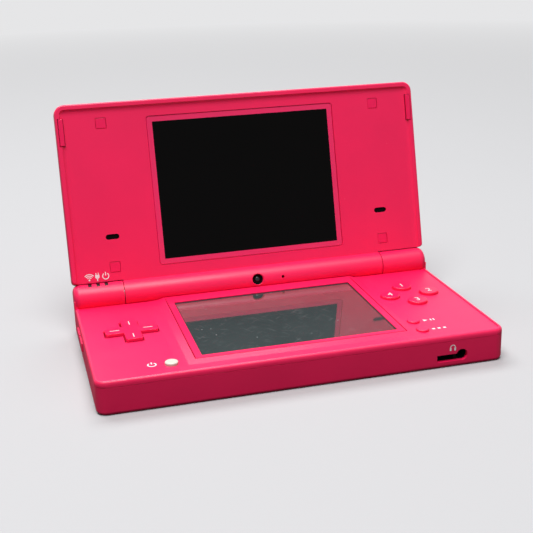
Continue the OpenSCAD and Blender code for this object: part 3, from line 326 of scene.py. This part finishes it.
def touch_glass(name):
    """Grey-green panel under glossy film, with fine scratches and dust."""
    material, shader, add, link = new_material(name)
    place = add("ShaderNodeTexCoord").outputs["Object"]
    cloud = add("ShaderNodeTexNoise", scale=60, detail=4)
    dust = add("ShaderNodeTexVoronoi", scale=330)
    link(place, cloud.inputs["Vector"])
    link(place, dust.inputs["Vector"])
    body = tint(add, link, cloud.outputs["Fac"], (0.042, 0.053, 0.055), (0.062, 0.076, 0.078))
    near = ramp(add, link, dust.outputs["Distance"], 0.04, 0.10, 1.0, 0.0)
    rare = ramp(add, link, dust.outputs["Color"], 0.55, 0.9, 0.0, 0.8)
    marks = combined(add, link, "MULTIPLY", near, rare)
    for turn, scale in ((0.5, 3400), (1.25, 4200), (2.3, 3000)):
        streak = add("ShaderNodeMapping")
        streak.vector_type = "TEXTURE"
        streak.inputs["Rotation"].default_value = (0, 0, turn)
        streak.inputs["Scale"].default_value = (1, 22, 1)
        lines = add("ShaderNodeTexNoise", scale=scale, detail=0)
        link(place, streak.inputs["Vector"])
        link(streak.outputs["Vector"], lines.inputs["Vector"])
        thin = ramp(add, link, lines.outputs["Fac"], 0.74, 0.82, 0.0, 0.16)
        marks = combined(add, link, "ADD", marks, thin)
    link(tint(add, link, marks, body, (0.42, 0.48, 0.48)), shader.inputs["Base Color"])
    link(ramp(add, link, marks, 0.0, 0.5, 0.05, 0.4), shader.inputs["Roughness"])
    shader.inputs["IOR"].default_value = 2.0
    shader.inputs["Coat Weight"].default_value = 1.0
    shader.inputs["Coat IOR"].default_value = 1.6
    shader.inputs["Coat Roughness"].default_value = 0.03
    return material


dress(touch_glass("touch_panel_film"), "touch_panel")
dress(black, "lower_display")


def flat_print(name, outlines, place, body, material, lift=0.02, sink=0.01):
    """Ink or inlay: closed outlines in mm, placed by a matrix, as thin plates that ride on a body."""
    shape = bmesh.new()
    for outline in outlines:
        low = [shape.verts.new(place @ Vector((x * MM, y * MM, -sink * MM))) for x, y in outline]
        high = [shape.verts.new(place @ Vector((x * MM, y * MM, lift * MM))) for x, y in outline]
        shape.faces.new(high)
        shape.faces.new(low[::-1])
        for k in range(len(outline)):
            n = (k + 1) % len(outline)
            shape.faces.new((low[k], low[n], high[n], high[k]))
    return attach(new_piece(name, plain_mesh(name, shape), material), body)


def bar(x, y, width, height, turn=0.0):
    """Outline of a bar round (x, y)."""
    c, s = math.cos(turn), math.sin(turn)
    corners = [(-1, -1), (1, -1), (1, 1), (-1, 1)]
    return [(x + (a * c * width - b * s * height) / 2, y + (a * s * width + b * c * height) / 2)
            for a, b in corners]


# The panel runs a little way under the frame, and a thin black gasket shows along the window's edge. Along
# the rear it is widened as painted shadow of the frame's edge.
panel_low, panel_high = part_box("touch_panel")
panel_margin = 1.0
window_side = panel_high.x / MM - panel_margin
window_front = panel_low.y / MM + panel_margin
window_rear = panel_high.y / MM - panel_margin
seal_front = 0.3
rear_seal_and_shadow = 0.6
seal_side = 0.4
side_start = window_front + seal_front
side_end = window_rear - rear_seal_and_shadow
seal = [bar(0, window_front + seal_front / 2, 2 * window_side, seal_front),
        bar(0, window_rear - rear_seal_and_shadow / 2, 2 * window_side, rear_seal_and_shadow)]
seal += [bar(side * (window_side - seal_side / 2), (side_start + side_end) / 2,
             seal_side, side_end - side_start) for side in (-1, 1)]
flat_print("display_gasket_and_shadow", seal, Matrix.Translation((0, 0, panel_high.z)), "base", black, lift=0.06)

# ---- Rubber under the display and the keys ----
# Moulded grey silicone: a cushion under the display, and sheets with domes that return the keys.
# The direction pad rocks on a rubber disc of its own.


def silicone(name, colour):
    """Matte silicone rubber with a powdery surface."""
    material, shader, add, link = new_material(name)
    place = add("ShaderNodeTexCoord").outputs["Object"]
    powder = add("ShaderNodeTexNoise", scale=2600, detail=3)
    link(place, powder.inputs["Vector"])
    link(tint(add, link, powder.outputs["Fac"], [c * 0.85 for c in colour], colour),
         shader.inputs["Base Color"])
    relief(add, link, shader, powder.outputs["Fac"], 0.5, 0.00002)
    shader.inputs["Roughness"].default_value = 0.82
    return material


dress(silicone("grey_silicone", (0.11, 0.11, 0.12)),
      "display_cushion", "dpad_keypad", "face_keypad", "small_keypads", "dpad_pivot")

# ---- Upper housing ----
# The top half of the case: the deck with its key holes, the raised frame round the display and
# the two side barrels of the hinge, in the same pink plastic. A fine groove is cut in the frame,
# and dark strips on its floor are painted shade.

dress(pink, "upper_housing")
soften(0.00013, "upper_housing")
# A dark maroon for painted shade: it darkens the frame's groove, the pad's hole and the gaps round the
# lid's bumpers.
painted_gap_shade = moulded_plastic("painted_gap_shade", (0.16, 0.002, 0.018), rough=0.7, gloss=0.1)
deck_top = 11.15
groove_floor = 11.61
groove_width = 0.3
groove_side = window_side + 2.45
groove_front = window_front - 2.1
groove_middle = -2.8
groove_length = 55.6
# Strips of painted shade on the floor of the frame's groove.
groove = [bar(side * groove_side, groove_middle, groove_width, groove_length) for side in (-1, 1)]
groove += [bar(0, groove_front, 2 * groove_side - groove_width, groove_width)]
flat_print("frame_groove_painted_shade", groove, Matrix.Translation((0, 0, groove_floor * MM)), "base",
           painted_gap_shade, lift=0.03)

# ---- Hinge pieces in the barrels ----
# A steel friction clutch on the right, and on the left a steel tube with the rolled amber cable
# through it. The shoulder buttons' pins and springs are steel, and the display's ribbon is amber.


def ribbon_film(name):
    """Amber film over parallel copper lines."""
    material, shader, add, link = new_material(name)
    place = add("ShaderNodeTexCoord").outputs["Object"]
    lines = add("ShaderNodeTexWave", scale=700)
    link(place, lines.inputs["Vector"])
    link(tint(add, link, lines.outputs["Fac"], (0.36, 0.13, 0.02), (0.62, 0.27, 0.06)),
         shader.inputs["Base Color"])
    shader.inputs["Roughness"].default_value = 0.3
    return material


amber = ribbon_film("amber_ribbon")
dress(steel, "hinge_clutch", "hinge_tube", "shoulder_pins", "shoulder_springs")
dress(amber, "lid_cable", "display_ribbon")

# ---- Direction pad ----
# One glossy pink cross that rocks on its centre, with a fine groove in each arm. A pale strip in
# each groove is a painted glint, and a dark line round its hole in the deck is painted shade.


def arc(x, y, radius, width, start, end, steps=20):
    """Outline of an arc of a ring round (x, y), between two angles in degrees."""
    turn = [math.radians(start + (end - start) * k / steps) for k in range(steps + 1)]
    outer = [(x + (radius + width / 2) * math.cos(t), y + (radius + width / 2) * math.sin(t)) for t in turn]
    inner = [(x + (radius - width / 2) * math.cos(t), y + (radius - width / 2) * math.sin(t)) for t in turn]
    return outer + inner[::-1]


def printed_ink(name, colour):
    """Slightly raised screen ink with an uneven film."""
    material, shader, add, link = new_material(name)
    place = add("ShaderNodeTexCoord").outputs["Object"]
    film = add("ShaderNodeTexNoise", scale=2400, detail=3)
    link(place, film.inputs["Vector"])
    link(tint(add, link, film.outputs["Fac"], [c * 0.88 for c in colour], colour),
         shader.inputs["Base Color"])
    shader.inputs["Roughness"].default_value = 0.45
    return material


# The same white print as the white ink on the lid and front, made darker as painted shade where the top
# lamp falls strongly on the deck and keys; it also paints the glints in the pad's grooves.
dimmed_ink_and_glint = printed_ink("dimmed_ink_and_glint", (0.74, 0.72, 0.73))
key_pink = moulded_plastic("key_pink", (0.86, 0.006, 0.085), rough=0.30, grain=0.2, gloss=0.5)
dress(key_pink, "dpad")
soften(0.00025, "dpad", steps=3)
pad_low, pad_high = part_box("dpad")
pad = (pad_low + pad_high) / 2
pad_span = 17.8
pad_arm = 5.6
pad_gap = 0.3
# Pale strips in the arms' grooves are painted glints, where the grooves' edges would catch the light.
line_length = 3.16
line_width = 0.32
line_middle = 5.7
line_sink = 0.15
quarter_turns = [k * math.pi / 2 for k in range(4)]
lines = [bar(line_middle * math.cos(turn), line_middle * math.sin(turn), line_length, line_width, turn)
         for turn in quarter_turns]
flat_print("dpad_painted_glints", lines, Matrix.Translation((pad.x, pad.y, pad_high.z - line_sink * MM)), "dpad",
           dimmed_ink_and_glint, lift=line_sink - 0.02)
# A thin dark line on the deck round the pad's hole is painted shade, as in the gap beside the pad.
shade_width = 0.22
shade_end = pad_span / 2 + pad_gap + shade_width / 2
shade_flank = pad_arm / 2 + pad_gap + shade_width / 2
flank_middle = 6.3
flank_length = 5.8
edges = []
for turn in quarter_turns:
    c, s = math.cos(turn), math.sin(turn)
    edges.append(bar(shade_end * c, shade_end * s, shade_width, pad_arm + 0.4, turn))
    for y in (-shade_flank, shade_flank):
        edges.append(bar(flank_middle * c - y * s, flank_middle * s + y * c,
                         flank_length, shade_width, turn))
flat_print("dpad_hole_painted_shade", edges, Matrix.Translation((pad.x, pad.y, deck_top * MM)), "base", painted_gap_shade)

# ---- Face buttons ----
# Four round keys of the same glossy pink, with rounded rims. Each has a pale numeral printed on
# its top.


def numeral(name, text, x, y, z, size, body, material):
    """A thin plate in the shape of a numeral, in mm size, on a key's top."""
    curve = bpy.data.curves.new(name, "FONT")
    curve.body = text
    curve.size = size * MM
    curve.align_x = "CENTER"
    curve.align_y = "CENTER"
    curve.extrude = 0.02 * MM
    curve.resolution_u = 6
    text_object = bpy.data.objects.new(name + "_text", curve)
    bpy.context.scene.collection.objects.link(text_object)
    bpy.context.view_layer.update()
    mesh = bpy.data.meshes.new_from_object(text_object.evaluated_get(bpy.context.evaluated_depsgraph_get()))
    bpy.data.objects.remove(text_object)
    mesh.transform(Matrix.Translation((x, y, z)))
    mesh.materials.clear()
    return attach(new_piece(name, mesh, material), body)


numeral_size = 4.0
for number, side in enumerate(("rear", "right", "front", "left"), 1):
    key = "face_button_" + side
    dress(key_pink, key)
    soften(0.00035, key, steps=3)
    low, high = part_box(key)
    centre = (low + high) / 2
    numeral(key + "_numeral", str(number), centre.x, centre.y, high.z, numeral_size, key, dimmed_ink_and_glint)

# ---- Start, select and power buttons ----
# Three small round keys. Start and select are pink, and power is cream. Each has a small mark
# printed beside it on the deck.

cream = moulded_plastic("cream_plastic", (0.55, 0.575, 0.505), rough=0.38, grain=0.2, gloss=0.25)
dress(pink, "start_button", "select_button")
dress(cream, "power_button")
soften(0.0001, "start_button", "select_button", "power_button")
deck = Matrix.Translation((0, 0, deck_top * MM))


def power_sign(x, y, radius, width, stem_y, stem):
    """Outlines of a ring that is open at the top, with a stem in the opening."""
    return [arc(x, y, radius, width, start=125, end=415), bar(x, stem_y, width, stem)]


start_low, start_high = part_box("start_button")
select_low, select_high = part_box("select_button")
power_low, power_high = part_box("power_button")
start_y = (start_low.y + start_high.y) / 2 / MM
select_y = (select_low.y + select_high.y) / 2 / MM
power_y = (power_low.y + power_high.y) / 2 / MM
mark_gap = 0.675
mark_x = start_high.x / MM + mark_gap
half_mark = 0.8
bar_width, bar_height = 0.45, 1.5
square = 1.0
triangle = [(mark_x, start_y - half_mark), (mark_x + 2 * half_mark, start_y), (mark_x, start_y + half_mark)]
pause = [bar(mark_x + along, start_y, bar_width, bar_height) for along in (2.7, 3.8)]
flat_print("start_mark", [triangle] + pause, deck, "base", dimmed_ink_and_glint)
squares = [bar(mark_x + along, select_y, square, square) for along in (0.3, 2.3, 4.3)]
flat_print("select_mark", squares, deck, "base", dimmed_ink_and_glint)
ring_gap, ring_rise = 3.08, 1.05
ring_x = power_low.x / MM - ring_gap
ring_y = power_y + ring_rise
power_ring = power_sign(ring_x, ring_y, radius=1.3, width=bar_width, stem_y=ring_y + 1.1, stem=bar_height)
flat_print("power_mark", power_ring, deck, "base", dimmed_ink_and_glint)

# ---- Volume keys and shoulder buttons ----
# Two keys in the left wall, and a corner button at each end of the rear edge, moulded in the pink
# of the case with rounded edges.

dress(pink, "volume_up_key", "volume_down_key", "shoulder_button_left", "shoulder_button_right")
soften(0.00022, "volume_up_key", "volume_down_key")
soften(0.0002, "shoulder_button_left", "shoulder_button_right")

# ---- Headphone mark ----
# A small pictogram of headphones in white ink, printed on the front wall above the headphone
# hole.

white_ink = printed_ink("white_ink", (0.95, 0.92, 0.93))
front_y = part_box("lower_housing")[0].y
front = Matrix.Translation((0, front_y, 0)) @ Matrix.Rotation(math.radians(90), 4, "X")
head_x = 49.4
head_z = 7.0
headphones = [arc(head_x, head_z, radius=0.88, width=0.3, start=-5, end=185)]
headphones += [bar(head_x + side * 0.8, head_z - 0.58, width=0.62, height=1.05) for side in (-1, 1)]
flat_print("headphone_mark", headphones, front, "base", white_ink)

# ---- Memory card cover and stylus ----
# A hinged flap over the memory card slot, and the stylus with its head in the right side, both
# moulded in the pink of the case.

dress(pink, "sd_slot_cover", "stylus")
soften(0.00015, "sd_slot_cover", "stylus")

# ---- Lid shells ----
# The outer cover, and the inner cover with the middle barrel of the hinge, moulded in the same pink
# and held together by four screws. They turn on the hinge's axis, and stand open at rest.

dress(pink, "lid_outer_cover", "lid_inner_cover")
soften(0.00013, "lid_outer_cover", "lid_inner_cover")
lid_hinge = next(joint for joint in frame["joints"] if joint["name"] == "lid_hinge")
lid_turn = math.radians(180 + lid_hinge["range_deg"][0])
lid_place = Matrix.Translation(lid_hinge["pos_m"]) @ Matrix.Rotation(lid_turn, 4, "X")

# ---- Upper display ----
# A clear plate over the display, recessed in the inner cover. Its back is printed pink round the
# black window, and its outer edge is bevelled.


def dark_glass(name, colour, rough, ior, gloss=0.5):
    """Black glossy plate with faint smears."""
    material, shader, add, link = new_material(name)
    place = add("ShaderNodeTexCoord").outputs["Object"]
    smear = add("ShaderNodeTexNoise", scale=35, detail=5)
    link(place, smear.inputs["Vector"])
    link(tint(add, link, smear.outputs["Fac"], colour, [c * 1.8 for c in colour]),
         shader.inputs["Base Color"])
    link(ramp(add, link, smear.outputs["Fac"], 0.35, 0.75, rough, rough + 0.06),
         shader.inputs["Roughness"])
    shader.inputs["IOR"].default_value = ior
    shader.inputs["Specular IOR Level"].default_value = gloss
    return material


window_glass = dark_glass("display_window", (0.0008, 0.0007, 0.0007), rough=0.05, ior=1.45, gloss=0.06)
border_print = moulded_plastic("lens_border", (0.86, 0.007, 0.115), rough=0.2, grain=0.05, coat=0.3)


def rounded_outline(u, v, radius, steps=6):
    """Rounded rectangle between bounds on u and v."""
    points = []
    for (cu, cv), start in (((u[1] - radius, v[0] + radius), -90), ((u[1] - radius, v[1] - radius), 0),
                            ((u[0] + radius, v[1] - radius), 90), ((u[0] + radius, v[0] + radius), 180)):
        for k in range(steps + 1):
            t = math.radians(start + 90 * k / steps)
            points.append((cu + radius * math.cos(t), cv + radius * math.sin(t)))
    return points


def lens_plate(half_width, low, high, border):
    """The plate: bevelled outside, with the window's face and the border's face on one level."""
    bevel = 0.15
    corner = 1.0
    face, bevel_foot, back = 0.9, 0.78, 0.12

    def outline(grow, radius):
        return rounded_outline((-half_width - grow, half_width + grow), (low - grow, high + grow), radius)

    window = outline(0, 0.05)
    inset = outline(border - bevel, corner - bevel)
    outside = outline(border, corner)
    shape = bmesh.new()

    def loop(points, w):
        return [shape.verts.new(lid_place @ Vector((x * MM, y * MM, w * MM))) for x, y in points]

    rings = [loop(window, face), loop(inset, face), loop(outside, bevel_foot), loop(outside, back)]
    shape.faces.new(rings[0]).material_index = 0
    shape.faces.new(rings[-1][::-1]).material_index = 1
    for a, b in zip(rings, rings[1:]):
        for k in range(len(a)):
            n = (k + 1) % len(a)
            shape.faces.new((a[k], b[k], b[n], a[n])).material_index = 1
    return new_piece("upper_lens_plate", plain_mesh("upper_lens_plate", shape), window_glass, border_print)


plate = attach(lens_plate(half_width=33.64, low=11.16, high=61.84, border=2.03), "lid")
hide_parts("upper_screen_lens")
dress(window_glass, "upper_display")

# ---- Speakers, lid screws, plugs and bumpers ----
# Speakers lie behind their slots. Square plugs of pink rubber cover the screws, and two strips of it
# stand a little over the rim, each ringed by a dark line of painted shade in its gap.

soft_pink = moulded_plastic("soft_pink", (0.89, 0.007, 0.096), rough=0.42, grain=0.8)
felt = moulded_plastic("black_felt", (0.003, 0.003, 0.003), rough=0.9, grain=1.0, gloss=0.05)
dress(felt, "speakers")
dress(steel, "lid_screws")
dress(soft_pink, "lid_screw_plugs", "lid_bumpers")
soften(0.0002, "lid_screw_plugs", "lid_bumpers")
lid_face = 1.1
on_lid = lid_place @ Matrix.Translation((0, 0, lid_face * MM))
bumper_x = 66.6
bumper_y = 60.1
gap_shade_width = 0.16
gap_shade_out = 0.95
gap_shade_end = 4.9
both = (-1, 1)
# Dark bars round each bumper strip are painted shade in the gap about it.
gap_shade_bars = [bar(side * (bumper_x + edge * gap_shade_out), bumper_y, gap_shade_width, 2 * gap_shade_end + 0.18)
         for side in both for edge in both]
gap_shade_bars += [bar(side * bumper_x, bumper_y + end * gap_shade_end, 2 * gap_shade_out - gap_shade_width, gap_shade_width)
          for side in both for end in both]
over_rim = on_lid @ Matrix.Translation((0, 0, 0.1 * MM))
flat_print("bumper_painted_gap_shade", gap_shade_bars, over_rim, "lid", painted_gap_shade, lift=0.12)

# ---- Cameras, microphone and lights ----
# Black camera barrels behind glossy lenses, the inner one deep in a pink countersunk ring, with the
# black microphone beside it. The lights shine through clear and smoked guides.

lens_glass = dark_glass("camera_glass", (0.002, 0.002, 0.004), rough=0.03, ior=1.5)


def milky_clear(name, colour):
    """Clear plastic, a little milky."""
    material, shader, add, link = new_material(name)
    place = add("ShaderNodeTexCoord").outputs["Object"]
    milk = add("ShaderNodeTexNoise", scale=700, detail=2)
    link(place, milk.inputs["Vector"])
    link(tint(add, link, milk.outputs["Fac"], [c * 0.9 for c in colour], colour),
         shader.inputs["Base Color"])
    shader.inputs["Roughness"].default_value = 0.22
    return material


dress(lens_glass, "inner_camera", "outer_camera_lens")
dress(black, "outer_camera")


def turned_piece(name, rings, materials, place, body, steps=48):
    """Turns a profile round a place's axis. A ring is a radius and a height in mm, and a material."""
    shape = bmesh.new()
    loops = []
    for radius, height, _ in rings:
        turn = [2 * math.pi * k / steps for k in range(steps)]
        loops.append([shape.verts.new(place @ Vector((radius * math.cos(t) * MM, radius * math.sin(t) * MM,
                                                      height * MM))) for t in turn])
    for a, b, ring in zip(loops, loops[1:], rings[1:]):
        for k in range(steps):
            n = (k + 1) % steps
            shape.faces.new((a[k], a[n], b[n], b[k])).material_index = ring[2]
    shape.faces.new(loops[-1]).material_index = rings[-1][2]
    shape.faces.new(loops[0][::-1]).material_index = rings[0][2]
    for face in shape.faces:
        face.smooth = len(face.verts) == 4
    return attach(new_piece(name, plain_mesh(name, shape), *materials), body)


# The ring, the black baffle behind it and the small lens in the middle, from the outside in.
ring_profile = [(2.25, 3.82, 0), (2.25, 4.34, 0), (2.21, 4.40, 0), (2.16, 4.41, 0), (2.10, 4.37, 0),
                (2.00, 4.20, 0)]
baffle_profile = [(1.99, 4.04, 1), (1.25, 3.96, 1), (1.22, 3.88, 1), (0.85, 3.86, 1)]
lens_profile = [(0.80, 3.93, 2), (0.5, 3.99, 2), (0.1, 4.01, 2)]
camera_window = turned_piece("inner_camera_window", ring_profile + baffle_profile + lens_profile,
                             [pink, felt, lens_glass], lid_place, "lid")
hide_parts("inner_camera_lens")
dress(black, "microphone")
dress(milky_clear("smoked_guide", (0.020, 0.018, 0.020)), "status_light_guides")
dress(milky_clear("clear_guide", (0.60, 0.60, 0.58)), "camera_light")

# ---- Marks of the status lights ----
# Pictograms in white ink at the foot of the lid, over the three lights: wireless waves, a mains
# plug and a power ring.

wave_x, plug_x, power_x = -62.1, -59.15, -56.1
waves = [arc(wave_x, 6.25, radius, width=0.32, start=42, end=138) for radius in (0.95, 1.55, 2.15)]
waves += [arc(wave_x, 6.3, radius=0.17, width=0.33, start=0, end=360)]
plug = [arc(plug_x, 7.3, radius=0.4, width=0.78, start=180, end=360)]
plug += [bar(plug_x, 7.62, width=1.56, height=0.66), bar(plug_x, 6.35, width=0.36, height=1.2)]
plug += [bar(plug_x + side * 0.42, 8.3, width=0.3, height=0.8) for side in (-1, 1)]
power = power_sign(power_x, 7.25, radius=1.12, width=0.34, stem_y=8.1, stem=1.3)
flat_print("status_marks", waves + plug + power, on_lid, "lid", white_ink)

# ---- Floor, lamps and camera ----
# A plain pale floor under two soft lamps, seen from the photograph's place. The camera sees it pale,
# as reflections do further off, but it throws little light back on the object.

floor_mesh = bpy.data.meshes.new("floor")
reach = 6
floor_mesh.from_pydata([(-reach, -reach, 0), (reach, -reach, 0), (reach, reach, 0), (-reach, reach, 0)], [],
                       [(0, 1, 2, 3)])
floor_paint, shader, add, link = new_material("floor_paint")
shader.inputs["Roughness"].default_value = 0.85
shader.inputs["Specular IOR Level"].default_value = 0.2
rays = add("ShaderNodeLightPath")
seen = combined(add, link, "MAXIMUM", rays.outputs["Is Camera Ray"], rays.outputs["Is Glossy Ray"])
link(tint(add, link, rays.outputs["Is Camera Ray"], (0.07, 0.07, 0.07), (0.43, 0.43, 0.44)),
     shader.inputs["Base Color"])
place = add("ShaderNodeTexCoord").outputs["Object"]
away = add("ShaderNodeVectorMath", operation="LENGTH")
link(place, away.inputs[0])
glow_start, glow_full = 0.3, 1.2
far = ramp(add, link, away.outputs["Value"], glow_start, glow_full, 0.0, 1.0)
glow = add("ShaderNodeEmission", color=(0.79, 0.79, 0.80, 1))


def mixed(add, link, factor, low, high):
    """Mixes two shaders by a factor."""
    node = add("ShaderNodeMixShader")
    for source, socket in zip((factor, low, high), node.inputs):
        link(source, socket)
    return node.outputs[0]


glowing = mixed(add, link, combined(add, link, "MULTIPLY", far, seen), shader.outputs[0], glow.outputs[0])
link(glowing, floor_paint.node_tree.nodes["Material Output"].inputs["Surface"])
new_piece("floor", floor_mesh, floor_paint)

world = bpy.data.worlds.new("studio")
bpy.context.scene.world = world
world.use_nodes = True
add, link = node_tools(world.node_tree)
ambient = world.node_tree.nodes["Background"]
ambient.inputs["Color"].default_value = (1, 1, 1, 1)
ambient.inputs["Strength"].default_value = 0.14
backdrop = add("ShaderNodeBackground", color=(0.80, 0.80, 0.81, 1))
rays = add("ShaderNodeLightPath")
seen = rays.outputs["Is Camera Ray"]
for ray in ("Is Glossy Ray", "Is Transmission Ray"):
    seen = combined(add, link, "MAXIMUM", seen, rays.outputs[ray])
surroundings = mixed(add, link, seen, ambient.outputs[0], backdrop.outputs[0])
link(surroundings, world.node_tree.nodes["World Output"].inputs["Surface"])


def softbox(name, place, target, width, height, watts):
    """A rectangular area lamp that faces a point."""
    lamp = bpy.data.lights.new(name, "AREA")
    lamp.shape = "RECTANGLE"
    lamp.size = width
    lamp.size_y = height
    lamp.energy = watts
    piece = bpy.data.objects.new(name, lamp)
    piece.location = place
    piece.rotation_euler = (Vector(target) - Vector(place)).to_track_quat("-Z", "Y").to_euler()
    bpy.context.scene.collection.objects.link(piece)


middle = (0, 0, 0.02)
softbox("top_softbox", (-0.15, -0.35, 1.38), middle, width=0.9, height=0.9, watts=25)
softbox("rear_softbox", (-0.1, 0.62, 1.2), middle, width=1.1, height=0.6, watts=14)

lens = bpy.data.cameras.new("camera")
lens.lens = 68.39
lens.sensor_width = 36
lens.clip_start = 0.01
camera = bpy.data.objects.new("camera", lens)
camera.location = (-0.0881, -0.3204, 0.14239)
camera.rotation_euler = [math.radians(turn) for turn in (71.168, 1.461, -15.219)]
bpy.context.scene.collection.objects.link(camera)
bpy.context.scene.camera = camera
bpy.context.scene.view_settings.view_transform = "Standard"
